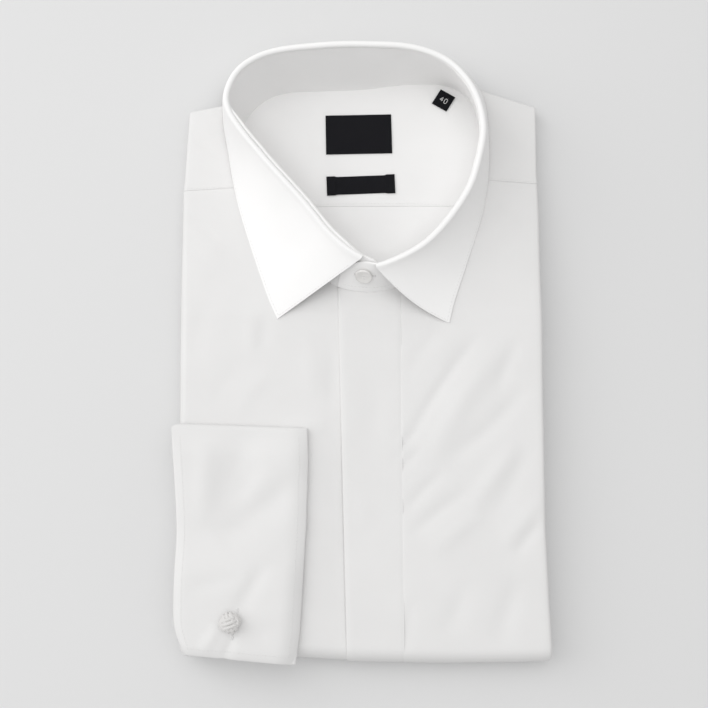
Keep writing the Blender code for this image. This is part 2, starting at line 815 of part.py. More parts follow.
def stand_frame(u):
    """Bottom and top of the stand's middle at a station."""
    out = outward(u)
    fold = fold_at(u)
    shift = lap(u)
    top = fold - out * (LEAF / 2 + 2 * FOLD_RADIUS - shift)
    top.z = fold.z - LEAF / 2 - FOLD_RADIUS - FOLD_LEG - STAND_CLEAR
    bottom = seam_at(u) + seam_outward(u) * shift
    bottom.z = top_z(bottom.y) + STAND_CLEAR + placket_rise(bottom.x, bottom.y)
    return bottom, top


def stand_point(u, share):
    bottom, top = stand_frame(u)
    late = smooth((u - RING) / (STAND_END - RING))
    early = smooth(-u / -STAND_START)
    return bottom.lerp(top, share * (1 - STAND_END_DROP * max(late, early)))


def build_collar_stand(shirt, parts):
    """The standing band, its ends lapped and rounded off at the centre front."""

    def place(i, j):
        u = blend(STAND_START, STAND_END, i / STAND_COLUMNS)
        return stand_point(u, j / STAND_STEPS)

    mesh = grid_mesh("collar_stand", STAND_COLUMNS, STAND_STEPS, place)
    stand = add_object("collar_stand", mesh, CLOTH, shirt, parts)
    thicken(stand, STAND, 0.0)


leaf_place = curve_through([(row[1], 0, 0) for row in LEAF_EDGE])
leaf_edge = curve_through([(row[2], row[3], row[4]) for row in LEAF_EDGE])


def leaf_line(t):
    """The leaf's section at t along its edge table, from the stand's top to the free edge."""
    u = leaf_place(t).x
    edge = leaf_edge(t)
    edge = Vector((edge.x, edge.y, top_z(edge.y) + edge.z))
    out, up = outward(u), Vector((0, 0, 1))
    axis = fold_at(u) - out * (LEAF / 2 + FOLD_RADIUS - lap(u)) - up * (LEAF / 2 + FOLD_RADIUS)
    chord = edge - axis
    away = Vector((chord.x, chord.y, 0))
    turn = math.pi / 2 + math.atan2(-chord.z, max(away.dot(out), 0.0) + 0.001)
    line = [axis - out * FOLD_RADIUS - up * FOLD_LEG]
    for k in range(FOLD_STEPS + 1):
        angle = turn * k / FOLD_STEPS
        line.append(axis - out * FOLD_RADIUS * math.cos(angle) + up * FOLD_RADIUS * math.sin(angle))
    start = line[-1]
    swell = (out * math.sin(turn - math.pi / 2) + up * math.cos(turn - math.pi / 2)) * LEAF_BULGE
    for k in range(1, LEAF_STEPS + 1):
        share = k / LEAF_STEPS
        line.append(start.lerp(edge, share) + swell * 4 * share * (1 - share))
    return line


def build_collar_leaf(shirt, parts):
    """The fall: sewn above the stand, rolled over and down to its free edge."""
    spread = (len(LEAF_EDGE) - 1) / LEAF_COLUMNS
    lines = [leaf_line(i * spread) for i in range(LEAF_COLUMNS + 1)]
    mesh = grid_mesh("collar_leaf", LEAF_COLUMNS, len(lines[0]) - 1, lambda i, j: lines[i][j])
    leaf = add_object("collar_leaf", mesh, CLOTH, shirt, parts)
    thicken(leaf, LEAF, 0.0)


def turned_mesh(name, profile, steps):
    """A mesh turned round Z from a closed-off profile of (radius, height) pairs, in mm."""
    bm = bmesh.new()
    verts = [bm.verts.new((radius * MM, 0, height * MM)) for radius, height in profile]
    for a, b in zip(verts, verts[1:]):
        bm.edges.new((a, b))
    bmesh.ops.spin(bm, geom=bm.verts[:] + bm.edges[:], axis=(0, 0, 1), cent=(0, 0, 0),
                   angle=2 * math.pi, steps=steps, use_merge=True)
    bmesh.ops.remove_doubles(bm, verts=bm.verts, dist=WELD * MM)
    bmesh.ops.recalc_face_normals(bm, faces=bm.faces)
    return finish_mesh(name, bm)


def stand_face(u, share):
    """Point on the stand's outside and the direction that it faces."""
    here = stand_point(u, share)
    run = stand_point(u + STATION_STEP, share) - stand_point(u - STATION_STEP, share)
    rise = stand_point(u, share + STATION_STEP) - stand_point(u, share - STATION_STEP)
    facing = rise.cross(run).normalized()
    return here + facing * STAND / 2, facing


def build_collar_button(shirt, parts):
    profile = [(BUTTON_RADIUS * radius, BUTTON_THICK * height) for radius, height in BUTTON_PROFILE]
    mesh = turned_mesh("collar_button", profile, BUTTON_SIDES)
    button = add_object("collar_button", mesh, PEARL, shirt, parts)
    seat, facing = stand_face(RING + BUTTON_STATION, BUTTON_UP)
    button.location = (seat + facing * GAP) * MM
    button.rotation_mode = "QUATERNION"
    button.rotation_quaternion = facing.to_track_quat("Z", "Y")


def cuff_outline(share, across):
    """Place in plan on the cuff: share from the folded edge to the open edge."""
    rows = [(k, *row[1:]) for k, row in enumerate(CUFF_ROWS)]
    left = curve_through([(row[1], row[2], 0) for row in rows])
    right = curve_through([(row[3], row[4], 0) for row in rows])
    place = share * (len(rows) - 1)
    return left(place).lerp(right(place), across)


def cuff_point(wall, share, across):
    """Middle of the cuff's wall: wall 0 is the under side, 1 the upper side."""
    lift = CUFF_LIFT * smooth((share - CUFF_LIFT_START) / (CUFF_LIFT_END - CUFF_LIFT_START))
    spread = blend(CUFF_SPREAD, CUFF_KISS, smooth(share / CUFF_SPREAD_END))
    point = cuff_outline(share, across)
    point.x += (CUFF_UNDER_X - cuff_outline(share, 0).x) * (1 - wall) * (1 - across)
    point.z = CUFF_LOWER_Z + lift + spread * wall
    return point


def build_cuff_right(shirt, parts, cutters):
    """Turned-back cuff pressed flat: one folded edge, one open edge, buttonholes through both."""
    lower = [(0, 1 - k / CUFF_WALL_STEPS) for k in range(CUFF_WALL_STEPS + 1)]
    arc = [(k / CUFF_FOLD_STEPS, 0.0) for k in range(1, CUFF_FOLD_STEPS)]
    upper = [(1, k / CUFF_WALL_STEPS) for k in range(CUFF_WALL_STEPS + 1)]
    rows = lower + arc + upper
    radius = CUFF_SPREAD / 2

    def place(i, j):
        wall, share = rows[j]
        across = i / CUFF_COLUMNS
        if 0 < wall < 1:
            bottom, top = cuff_point(0, 0.0, across), cuff_point(1, 0.0, across)
            point = bottom.lerp(top, (1 - math.cos(wall * math.pi)) / 2)
            point.y += radius * math.sin(wall * math.pi) - radius
            return point
        point = cuff_point(wall, share, across)
        point.y -= radius * (1 - share)
        return point

    mesh = grid_mesh("cuff_right", CUFF_COLUMNS, len(rows) - 1, place)
    cuff = add_object("cuff_right", mesh, CLOTH, shirt, parts)
    thicken(cuff, CUFF, 0.0)
    bpy.ops.mesh.primitive_cube_add(size=1)
    hole = bpy.context.object
    hole.name = "buttonholes"
    hole.data.transform(Matrix.Diagonal((HOLE_WIDTH * MM, HOLE_LENGTH * MM, HOLE_DEPTH * MM, 1)))
    hole.location = (LINK_X * MM, LINK_Y * MM, (CUFF_LOWER_Z + CUFF_LIFT) * MM)
    hole.parent = shirt
    for collection in list(hole.users_collection):
        collection.objects.unlink(hole)
    cutters.objects.link(hole)
    hole.hide_render = True
    hole.display_type = "WIRE"
    cut = cuff.modifiers.new("buttonholes", "BOOLEAN")
    cut.object = hole


def build_sleeve_right(shirt, parts):
    """Flattened sleeve wrapped round the left edge up to the cuff."""
    steps, rows = 7, 5

    def place(i, j):
        y = blend(SLEEVE_TOP_Y, SLEEVE_BOTTOM_Y, j / rows)
        thickness = half(y)
        out, rise = rolled(thickness, SLEEVE_END * (1 - i / steps), -GAP)
        return Vector((left_x(y) - out, y + bow(left_x(y), y), 3 * thickness + rise))

    mesh = grid_mesh("sleeve_right", steps, rows, place)
    sleeve = add_object("sleeve_right", mesh, CLOTH, shirt, parts)
    thicken(sleeve, SLEEVE, -1.0)


def build_cuff_link(shirt, parts):
    """Silk-knot link: a knot on each side of the cuff and the cord between them."""
    share = (LINK_Y - CUFF_ROWS[0][2]) / (CUFF_ROWS[-1][2] - CUFF_ROWS[0][2])
    under_z = cuff_point(0, share, LINK_ACROSS).z - CUFF / 2 - GAP
    over_z = cuff_point(1, share, LINK_ACROSS).z + CUFF / 2 + GAP
    profile = [
        (UNDER_KNOT_RADIUS * radius, under_z - UNDER_KNOT_THICK * depth)
        for radius, depth in UNDER_KNOT_PROFILE
    ]
    profile += [(SHANK_RADIUS, under_z), (SHANK_RADIUS, over_z)]
    profile += [(KNOT_RADIUS * radius, over_z + KNOT_HEIGHT * height) for radius, height in KNOT_PROFILE]
    mesh = turned_mesh("cuff_link", profile, LINK_SIDES)
    link = add_object("cuff_link", mesh, SILK, shirt, parts)
    link.location = (LINK_X * MM, LINK_Y * MM, 0)


def build_labels(shirt, parts):
    """Woven labels sewn flat on the inner yoke."""
    for name, (centre_x, centre_y, width, length, turn) in LABELS.items():
        angle = math.radians(turn)

        def place(i, j):
            a = (i / LABEL_COLUMNS - 0.5) * width
            b = (j / LABEL_ROWS - 0.5) * length
            x = centre_x + a * math.cos(angle) - b * math.sin(angle)
            y = centre_y + a * math.sin(angle) + b * math.cos(angle)
            return floor_point(x, y, LABEL_LIFT)

        mesh = grid_mesh(name, LABEL_COLUMNS, LABEL_ROWS, place)
        label = add_object(name, mesh, LABEL_BLACK, shirt, parts)
        thicken(label, LABEL, 1.0)


def main():
    for obj in list(bpy.data.objects):
        bpy.data.objects.remove(obj, do_unlink=True)
    parts = bpy.data.collections.new("folded_dress_shirt")
    cutters = bpy.data.collections.new("cutters")
    for collection in (parts, cutters):
        bpy.context.scene.collection.children.link(collection)
    shirt = bpy.data.objects.new("shirt_frame", None)
    shirt.location = (-ORIGIN_X * MM, -ORIGIN_Y * MM, 0)
    parts.objects.link(shirt)
    build_front_right(shirt, parts)
    build_front_left(shirt, parts)
    build_fly_placket(shirt, parts)
    build_folded_layers(shirt, parts)
    build_yoke_outer(shirt, parts)
    build_neck_floor(shirt, parts)
    build_collar_stand(shirt, parts)
    build_collar_leaf(shirt, parts)
    build_collar_button(shirt, parts)
    build_sleeve_right(shirt, parts)
    build_cuff_right(shirt, parts, cutters)
    build_cuff_link(shirt, parts)
    build_labels(shirt, parts)


main()
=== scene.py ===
import math

import bmesh
import bpy
import numpy as np
from mathutils import Matrix, Vector, noise


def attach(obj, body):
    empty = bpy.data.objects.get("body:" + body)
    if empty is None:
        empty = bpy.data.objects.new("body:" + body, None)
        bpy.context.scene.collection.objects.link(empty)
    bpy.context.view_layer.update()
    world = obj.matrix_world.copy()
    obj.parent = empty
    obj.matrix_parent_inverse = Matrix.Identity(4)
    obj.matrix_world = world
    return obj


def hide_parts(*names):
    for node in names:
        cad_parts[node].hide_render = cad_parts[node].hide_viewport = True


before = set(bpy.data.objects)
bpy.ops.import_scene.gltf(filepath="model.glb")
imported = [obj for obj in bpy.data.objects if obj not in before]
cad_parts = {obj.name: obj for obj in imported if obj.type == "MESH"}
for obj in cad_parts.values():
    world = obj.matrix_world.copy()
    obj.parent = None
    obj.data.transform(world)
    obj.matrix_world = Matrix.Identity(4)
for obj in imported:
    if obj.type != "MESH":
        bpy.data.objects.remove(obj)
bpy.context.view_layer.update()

# Millimetres until a mesh is made: X across the shirt, Y towards its collar, Z up
MM = 0.001

# Place of the part's origin in these millimetres
ORIGIN_X = 3.9
ORIGIN_Y = 0.2

# Clearance between neighbours, and distance under which points are merged
GAP = 0.3
WELD = 0.02

# Cloth thicknesses: poplin, two plies with a fused lining, woven label, then the solids' walls
POPLIN = 0.4
COLLAR_PLY = 1.1
STAND_PLY = 1.3
CUFF_PLY = 0.75
CUFF_PLY_STEP = 0.95
LABEL_PLY = 0.35
CAD_STAND = 1.6
CAD_LEAF = 1.4
CAD_CUFF = 1.8

# Widths of the rounded rims
COLLAR_RIM = 0.3
CUFF_RIM = 0.2
LABEL_RIM = 0.08

# Folded body: a quarter of the stack's height, full up to the chest, then less to the back
HALF_BODY = 5.5
HALF_BACK = 2.1
CHEST_Y = 20.0
BACK_Y = 166.0
SHOULDER_Y = 148.0

# Hem end: where it turns under, how far the turn stands out, its bow right of the placket
TURN_Y = -165.0
TURN_REACH = 7.5
BOW = 1.7
BOW_CENTRE_X = 58.0
BOW_HALF_WIDTH = 63.0
BOW_FADE_Y = -60.0

# Hidden tail's flat end and the stretch where its creases fade, then the degrees of a rolled edge
TAIL_END_Y = 140.0
TAIL_CALM = 25.0
ROLL_END = 135.0

# Side edges of the body: place along the shirt, left edge, right edge
SIDE_EDGES = (
    (148.0, -97.6, 107.8),
    (97.0, -99.6, 107.0),
    (CHEST_Y, -98.6, 106.9),
    (-102.0, -97.6, 106.4),
    (-165.0, -95.6, 108.6),
)

# Shoulder line and the back's end under the collar: x, y
NORTH_EDGE = (
    (-97.0, 144.0),
    (-76.3, 148.2),
    (-48.0, 160.5),
    (-18.0, 163.5),
    (10.0, 165.0),
    (38.0, 166.2),
    (60.0, 163.0),
    (78.9, 156.2),
    (93.0, 151.9),
    (107.2, 147.0),
)

# Yoke seams on the front, dropping to the side edges, and inside on the back
FRONT_SEAM_LEFT = 97.0
FRONT_SEAM_RIGHT = 101.5
FRONT_SEAM_DROP = 2.5
INNER_SEAM_Y = 85.6

# Yoke: where its columns start on the collar ring, and for those at the back x on the shoulder line
YOKE_SIDE_ROW = 120.0
YOKE_LEFT_STATIONS = (3.6, 4.3)
YOKE_RIGHT_STATIONS = (11.45, 13.1)
YOKE_CORNER_SPREAD = 0.27
YOKE_CORNER_STEPS = 4
YOKE_ENDS = (0.0, 0.02, 0.05, 0.1)
YOKE_SEAM_BACK = 0.02
YOKE_SEAM_LIFT = 0.3
YOKE_SEAM_FADE = 0.3
YOKE_SHOWN_CELL = (12, 8)
YOKE_BACK = (
    (5.9, -76.0),
    (6.3, -64.0),
    (6.7, -54.5),
    (7.1, -45.0),
    (7.8, -24.5),
    (8.7, -0.5),
    (9.5, 20.5),
    (10.1, 37.5),
    (10.6, 49.5),
    (11.0, 60.0),
    (11.2, 70.0),
)

# Neck floor: depth below the body's top, how far it goes on under the stand, its lapped seam
FLOOR_DEPTH = 2.5
FLOOR_UNDER_STAND = 1.9
FLOOR_SHOWN_CELL = (30, 16)
YOKE_LAP = 0.5
YOKE_LAP_LIFT = 0.12
BACK_LAP = 1.5
BACK_LAP_LIFT = -0.13
LAP_REACH = 6.0

# Fly placket: place along the shirt, left edge, right edge; height over the front at each
PLACKET_TOP_Y = 34.0
PLACKET_EDGES = (
    (PLACKET_TOP_Y, -9.0, 26.2),
    (TURN_Y, -3.8, 27.3),
)
PLACKET_RISE = 1.3
PLACKET_FLUSH = 0.15
PLACKET_WIDTH = 31.0
PLACKET_PLY = 0.3
PLACKET_NOSE = 0.36

# The fronts and the placket go on this far under the yoke and the stand
TUCK_UP = 1.2

# The placket's left edge is rounded and its right edge sewn down: depth, reach, flat part between
PLACKET_ROUND = 0.35
PLACKET_ROUND_REACH = 2.8
PLACKET_SEWN = 0.14
PLACKET_SEWN_REACH = 1.6
PLACKET_FLAT_LEFT = 3.5
PLACKET_FLAT_RIGHT = 3.4

# Collar ring, clockwise from the centre front: outside of the leaf's fold x, y, z, stand's seam x, y
COLLAR_RING = (
    (9.2, 42.7, 45.0, 6.5, 34.5),
    (-11.6, 56.8, 45.5, -14.0, 40.0),
    (-30.3, 78.9, 46.0, -32.0, 64.0),
    (-53.7, 105.7, 46.0, -53.0, 90.0),
    (-70.6, 128.1, 46.0, -65.0, 110.0),
    (-74.1, 141.6, 46.0, -68.3, 128.0),
    (-66.5, 158.1, 46.0, -62.0, 145.0),
    (-49.3, 168.4, 46.0, -46.5, 156.6),
    (-17.6, 172.9, 46.0, -18.4, 159.2),
    (7.1, 173.5, 46.0, 7.0, 160.4),
    (34.6, 171.4, 46.0, 34.5, 163.0),
    (54.9, 162.8, 46.0, 57.0, 160.6),
    (68.8, 146.3, 46.0, 70.0, 150.0),
    (74.6, 125.3, 46.0, 75.0, 127.5),
    (72.0, 105.0, 46.0, 74.0, 103.0),
    (64.5, 83.9, 46.0, 65.5, 78.0),
    (44.5, 57.7, 46.0, 48.0, 52.0),
    (23.3, 44.6, 45.5, 27.0, 37.5),
)
RING = len(COLLAR_RING)

# Step and number of halvings that measure the ring, stations on either side of each front seam
STATION_STEP = 0.05
HALVINGS = 30
LEFT_NECK_SPAN = (2.0, 5.0)
RIGHT_NECK_SPAN = (16.5, 13.0)

# Leaf: station on the collar ring, its free edge x, y, height over the body under it
LEAF_EDGE = (
    (0.28, -43.5, 16.9, 1.5),
    (1.0, -49.0, 29.5, 1.5),
    (2.0, -58.5, 57.0, 1.5),
    (3.0, -67.5, 87.0, 1.5),
    (4.0, -73.6, 118.0, 1.5),
    (5.0, -77.0, 140.0, 1.5),
    (6.0, -75.5, 158.0, -2.5),
    (7.0, -55.5, 170.5, -4.5),
    (8.0, -19.0, 172.0, -4.5),
    (9.0, 8.0, 172.2, -4.5),
    (10.0, 37.0, 172.0, -4.5),
    (11.0, 62.5, 167.5, -3.5),
    (11.55, 72.0, 161.0, -0.5),
    (12.0, 76.8, 151.0, 1.5),
    (13.0, 79.0, 128.0, 1.5),
    (14.0, 78.2, 103.5, 1.5),
    (15.0, 74.3, 81.0, 1.5),
    (16.0, 64.8, 50.5, 1.5),
    (17.0, 57.0, 27.0, 1.5),
    (17.78, 53.9, 14.6, 1.5),
)

# Leaf's fold, leg inside it, drop on the body, flat edge with its seam, swell, closer end columns
FOLD_RADIUS = 1.2
FOLD_LEG = 1.2
LEAF_LOWER = 0.65
LEAF_FLAT_EDGE = 3.2
LEAF_SEAM_IN = 1.4
LEAF_SWELL_EARLY = 0.75
LEAF_ENDS = (0.0, 0.01, 0.02, 0.035, 0.05, 0.08, 0.12)
LEAF_SHOWN_CELL = (20, -5)

# How hollow the leaf is, along its edge table: place, depth
LEAF_HOLLOW = (
    (0.0, 4.2),
    (1.5, 4.0),
    (3.0, 1.8),
    (4.5, -0.2),
    (7.0, -0.8),
    (11.0, -0.8),
    (13.5, 0.2),
    (15.5, 1.2),
    (17.0, 2.8),
    (18.0, 3.4),
    (19.0, 3.2),
)

# The right-hand point's front edge bulges towards the placket
LEAF_BOW = (-2.4, -3.4, 0.0)
LEAF_BOW_START = 16.5

# Stand: its two ends lap at the centre front, the right-hand end outside
STAND_START = -0.75
STAND_END = 18.72
STAND_ENDS = (0.0, 0.02, 0.05, 0.09)
LAP_SHIFT = 0.98
LAP_FADE = 0.9
STAND_END_DROP = 0.36
STAND_CLEAR = 0.8
STAND_STEP_UP = 5.0
STAND_STEP_END = (PLACKET_TOP_Y + 4.0, PLACKET_TOP_Y + 12.0)

# The stand's foot is short on the outer lap, and elsewhere drops off the placket; then its seam
STAND_OUTER_FOOT = 0.19
STAND_FOOT_FADE = 0.4
STAND_FOOT_DROP = 0.05
STAND_SEAM_SHARE = 2 / 14

# On the left the stand's upper edge shows inside the roll: stations, fades, inwards, upwards
STAND_LEDGE_SPAN = (0.25, 4.5)
STAND_LEDGE_FADE = (0.6, 0.8)
STAND_LEDGE_IN = 1.15
STAND_LEDGE_UP = 1.5

# Collar button: place on the stand, its hole's stations, size, thread
BUTTON_STATION = 0.12
BUTTON_UP = 0.6
COLLAR_BUTTONHOLE = (-0.36, -0.24, -0.12, 0.0, 0.12, 0.24)
BUTTON_RADIUS = 5.0
BUTTON_THICK = 2.2
BUTTON_MIDDLE = 0.72
BUTTON_THREAD = (2.6, 0.34)
BUTTON_THREAD_ROWS = (-0.95, 0.95)
BUTTON_STRANDS = (-0.2, 0.2)
BUTTON_PROFILE = (
    (0.0, 0.0),
    (0.82, 0.0),
    (0.95, 0.2),
    (1.0, 0.5),
    (0.97, 0.75),
    (0.9, 0.86),
    (0.8, 0.84),
    (0.66, 0.74),
    (0.0, 0.7),
)

# Cuff, seen from above: left x, y, right x, y, from the folded edge to the open edge
CUFF_ROWS = (
    (-101.6, -43.6, -26.9, -46.0),
    (-100.0, -59.4, -26.3, -62.0),
    (-98.7, -75.0, -26.8, -78.0),
    (-97.6, -90.5, -27.3, -94.0),
    (-97.1, -106.0, -28.0, -110.0),
    (-97.5, -121.5, -28.7, -126.0),
    (-97.7, -137.0, -29.6, -142.0),
    (-96.9, -153.5, -30.6, -158.0),
    (-91.6, -168.1, -32.7, -173.8),
)
CUFF_LENGTH = CUFF_ROWS[0][1] - CUFF_ROWS[-1][1]

# How the cuff falls away at its edges: reach in from the edge, share of the fall
CUFF_FALL_RIGHT = (11.0, 1.0)
CUFF_FALL_LEFT = (4.0, 0.45)
CUFF_FALL_END = (6.0, 0.35)
CUFF_FALL_POWER = 2.4
CUFF_LEFT_START = 0.15

# The cuff's height: puff of its upper side, gap between its sides, lift by what lies under it
CUFF_PUFF = 1.6
CUFF_PUFF_START = 0.12
CUFF_LOWER_Z = 4 * HALF_BODY + GAP + CAD_CUFF / 2
CUFF_SPREAD = 4.0
CUFF_SPREAD_END = 0.8
CUFF_UNDER_X = -91.0
CUFF_LIFT = 3.8
CUFF_LIFT_START = 0.42
CUFF_LIFT_END = 0.7
CUFF_LIFT_LOST = 0.85
CUFF_KISS = CAD_CUFF + GAP

# Seam along the cuff's edges, in columns from each, and its buttonhole from x, y to x, y
CUFF_SEAM_COLUMN = 4
CUFF_SEAM_LIFT = 0.03
CUFF_BUTTONHOLE = ((-63.3, -143.8), (-66.2, -160.2))

# From this cell, counted from the end, the cuff's upper side tells which way its sheet faces
CUFF_SHOWN = -30

# Sleeve: wraps the left edge from the gap between the slabs up to the cuff
SLEEVE_TOP_Y = -46.0
SLEEVE_BOTTOM_Y = -163.0
SLEEVE_END = 128.0
SLEEVE_PLY_STEP = 0.5
SLEEVE_CLEAR = 0.25
SLEEVE_HEM_IN = 0.6

# Cuff link, then a knot's parts as shares of its radius: cord, low loops, outer strands, core
LINK_X = -66.9
LINK_Y = -151.0
LINK_ACROSS = 0.4
LINK_TURN = 20
LINK_CORD = 0.7
KNOT_RADIUS = 6.2
KNOT_HEIGHT = 8.0
UNDER_KNOT_RADIUS = 5.0
UNDER_KNOT_THICK = 3.0
KNOT_CORD = 0.165
KNOT_LOW = 0.62
KNOT_DROP = 0.13
KNOT_CORE = 0.78
CORD_SIDES = 10
CORD_STEPS = 40

# Labels on the inner yoke: centre x, y, width, length, turn in degrees, width of turned ends
LABEL_LIFT = 0.4
LABELS = {
    "label_main": (2.8, 129.9, 39.0, 24.6, 1.2, 0.0),
    "label_fit": (4.0, 98.2, 40.0, 11.0, 2.2, 5.6),
    "label_size": (53.4, 151.6, 10.0, 10.5, -31.0, 0.0),
}
LABEL_ENDS = (0.0, 0.3, 0.7)

# A turned-under end: its thickness and width over the rest, and how fast it gets there
TAB_THICK = 0.3
TAB_WIDER = 1.07
TAB_FADE = 0.5

# Size label's number: thread, length past the strokes' ends, lift, strokes from x, y to x, y
NUMBER_THREAD = 0.42
NUMBER_ENDS = 0.4
NUMBER_LIFT = 0.02
NUMBER_STROKES = (
    ((-0.9, 1.5), (-2.3, -0.5)),
    ((-2.3, -0.5), (-0.3, -0.5)),
    ((-0.9, 1.5), (-0.9, -1.5)),
    ((0.6, 1.2), (0.6, -1.2)),
    ((2.2, 1.2), (2.2, -1.2)),
    ((0.6, 1.2), (1.4, 1.6)),
    ((1.4, 1.6), (2.2, 1.2)),
    ((0.6, -1.2), (1.4, -1.6)),
    ((1.4, -1.6), (2.2, -1.2)),
)


def smooth(value):
    """Ease from 0 to 1 with flat ends."""
    t = min(1.0, max(0.0, value))
    return t * t * (3 - 2 * t)


def blend(a, b, t):
    """Value at share t of the way from a to b."""
    return a + (b - a) * t


def table_at(rows, key):
    """Linear look-up by a table's first column; gives the other columns."""
    ordered = sorted(rows)
    if key <= ordered[0][0]:
        return ordered[0][1:]
    for low, high in zip(ordered, ordered[1:]):
        if key <= high[0]:
            t = (key - low[0]) / (high[0] - low[0])
            return tuple(blend(a, b, t) for a, b in zip(low[1:], high[1:]))
    return ordered[-1][1:]


def curve_through(points, closed=False):
    """Smooth curve through points, read at a fractional place in their list."""
    points = [Vector(p) for p in points]
    count = len(points)

    def point(i):
        return points[i % count] if closed else points[min(max(i, 0), count - 1)]

    def slope(i):
        before, after = point(i) - point(i - 1), point(i + 1) - point(i)
        return (before + after) / (before.length + after.length)

    def at(place):
        i = math.floor(place) if closed else min(max(math.floor(place), 0), count - 2)
        t = place - i
        a, b = point(i), point(i + 1)
        chord = (b - a).length
        h00, h10 = 2 * t**3 - 3 * t**2 + 1, t**3 - 2 * t**2 + t
        h01, h11 = 3 * t**2 - 2 * t**3, t**3 - t**2
        return h00 * a + h10 * chord * slope(i) + h01 * b + h11 * chord * slope(i + 1)

    return at


def steps(start, stop, step, near=(), far=()):
    """Even stations from start to stop, with extra ones at small distances from either end."""
    count = max(2, math.ceil(abs(stop - start) / step))
    sign = 1 if stop > start else -1
    even = [blend(start, stop, k / count) for k in range(count + 1)]
    low, high = max(near, default=0.0), max(far, default=0.0)
    inner = [v for v in even if abs(v - start) > low + step / 2 and abs(v - stop) > high + step / 2]
    line = [start + sign * d for d in near] + inner + [stop - sign * d for d in reversed(far)]
    return ([start] if not near else []) + line + ([stop] if not far else [])


# Body
def half(y):
    """Half of one slab's thickness."""
    return blend(HALF_BODY, HALF_BACK, min(1.0, max(0.0, (y - CHEST_Y) / (BACK_Y - CHEST_Y))))


def top_z(y):
    """Height of the body's top."""
    return 4 * half(y)


def reach(thickness):
    """How far a slab's rolled edge stands out past its flat part."""
    return 1.0 + 0.5 * thickness


def bow(x, y):
    """The hem end is a little longer right of the placket than at its corners."""
    sag = BOW * max(-1.0, 1 - ((x - BOW_CENTRE_X) / BOW_HALF_WIDTH) ** 2)
    return -sag * smooth((BOW_FADE_Y - y) / (BOW_FADE_Y - TURN_Y))


def left_x(y):
    """Left end of the body's flat part."""
    return table_at(SIDE_EDGES, y)[0] + reach(half(y))


def right_x(y):
    """Right end of the body's flat part."""
    return table_at(SIDE_EDGES, y)[1] - reach(half(y))


def north_y(x):
    """Flat part's end towards the collar."""
    y = table_at(NORTH_EDGE, x)[0]
    return y - reach(half(y))


def fold_path(s, x):
    """Middle of a slab at s along the fold, its run and outward direction, and the turn's angle."""
    length = math.pi * HALF_BODY
    if s <= 0:
        y = TURN_Y - s
        return Vector((x, y + bow(x, y), 3 * half(y))), Vector((0, -1, 0)), Vector((0, 0, 1)), None
    if s >= length:
        y = TURN_Y + s - length
        return Vector((x, y + bow(x, y), half(y))), Vector((0, 1, 0)), Vector((0, 0, -1)), None
    return Vector((x, TURN_Y + bow(x, TURN_Y), 2 * HALF_BODY)), None, None, s / HALF_BODY


def slab_point(x, s, heading, out, rise, depth):
    """A point round a slab's flat middle at (x, s), out along heading and rise from the middle."""
    base, run, up, angle = fold_path(s, x)
    across, ahead = heading
    if angle is None:
        return base + Vector((across * out, 0, 0)) + run * ahead * out + up * rise
    radius = HALF_BODY + rise
    stretch = (TURN_REACH - depth) / (2 * HALF_BODY - depth)
    return base + Vector((across * out, -radius * stretch * math.sin(angle), radius * math.cos(angle)))


def along(y):
    """Place on the fold path of a point on the upper slab."""
    return TURN_Y - y


def under(y):
    """Place on the fold path of a point on the lower slab."""
    return math.pi * HALF_BODY + y - TURN_Y


def rolled(thickness, degrees, depth, square=0.0):
    """Distance out and rise of a point on a rolled edge; square makes the roll tighter."""
    angle = math.radians(degrees)
    power = 1 - 0.5 * max(0.0, square)
    out = (reach(thickness) - depth) * math.sin(angle) ** power
    rise = (thickness - depth) * math.copysign(abs(math.cos(angle)) ** power, math.cos(angle))
    return out, rise


def corner_heading(i, j):
    """Direction in a corner where i across meets j along."""
    if i == 0 and j == 0:
        return 0.0, 0.0
    if abs(i) >= abs(j):
        angle = math.radians(45 * j / abs(i))
    else:
        angle = math.radians(90 - 45 * abs(i) / abs(j)) * (1 if j > 0 else -1)
    return math.copysign(math.cos(angle), i) if i else 0.0, math.sin(angle)


# Collar ring
fold_at = curve_through([row[:3] for row in COLLAR_RING], closed=True)
seam_flat = curve_through([(row[3], row[4], 0.0) for row in COLLAR_RING], closed=True)


def seam_at(u):
    """Seam between the stand and the body, on the body's outside."""
    point = seam_flat(u)
    return Vector((point.x, point.y, top_z(point.y)))


def ring_outward(curve, u):
    """Horizontal direction out of the collar ring."""
    run = curve(u + STATION_STEP) - curve(u - STATION_STEP)
    return Vector((-run.y, run.x, 0)).normalized()


def station_where(low, high, test):
    """Station between low and high where test changes from true to false."""
    for _ in range(HALVINGS):
        middle = (low + high) / 2
        if test(seam_flat(middle)):
            low = middle
        else:
            high = middle
    return low


NECK_LEFT = station_where(*LEFT_NECK_SPAN, lambda p: p.y < FRONT_SEAM_LEFT)
NECK_RIGHT = station_where(*RIGHT_NECK_SPAN, lambda p: p.y < FRONT_SEAM_RIGHT)
NECK_LEFT_X = seam_flat(NECK_LEFT).x
NECK_RIGHT_X = seam_flat(NECK_RIGHT).x

# Neckline's points on either side of the placket
NECK_STEPS = 20
NECK_LINE = [seam_flat(k / NECK_STEPS) for k in range(RING * NECK_STEPS)]
LEFT_NECK = sorted((p.x, p.y) for p in NECK_LINE[:int(NECK_LEFT * NECK_STEPS) + 2])
RIGHT_NECK = sorted((p.x, p.y) for p in NECK_LINE[int(NECK_RIGHT * NECK_STEPS):] + NECK_LINE[:1])


def share_between(value, low, high):
    """How far a value is from low to high."""
    return (value - low) / (high - low)


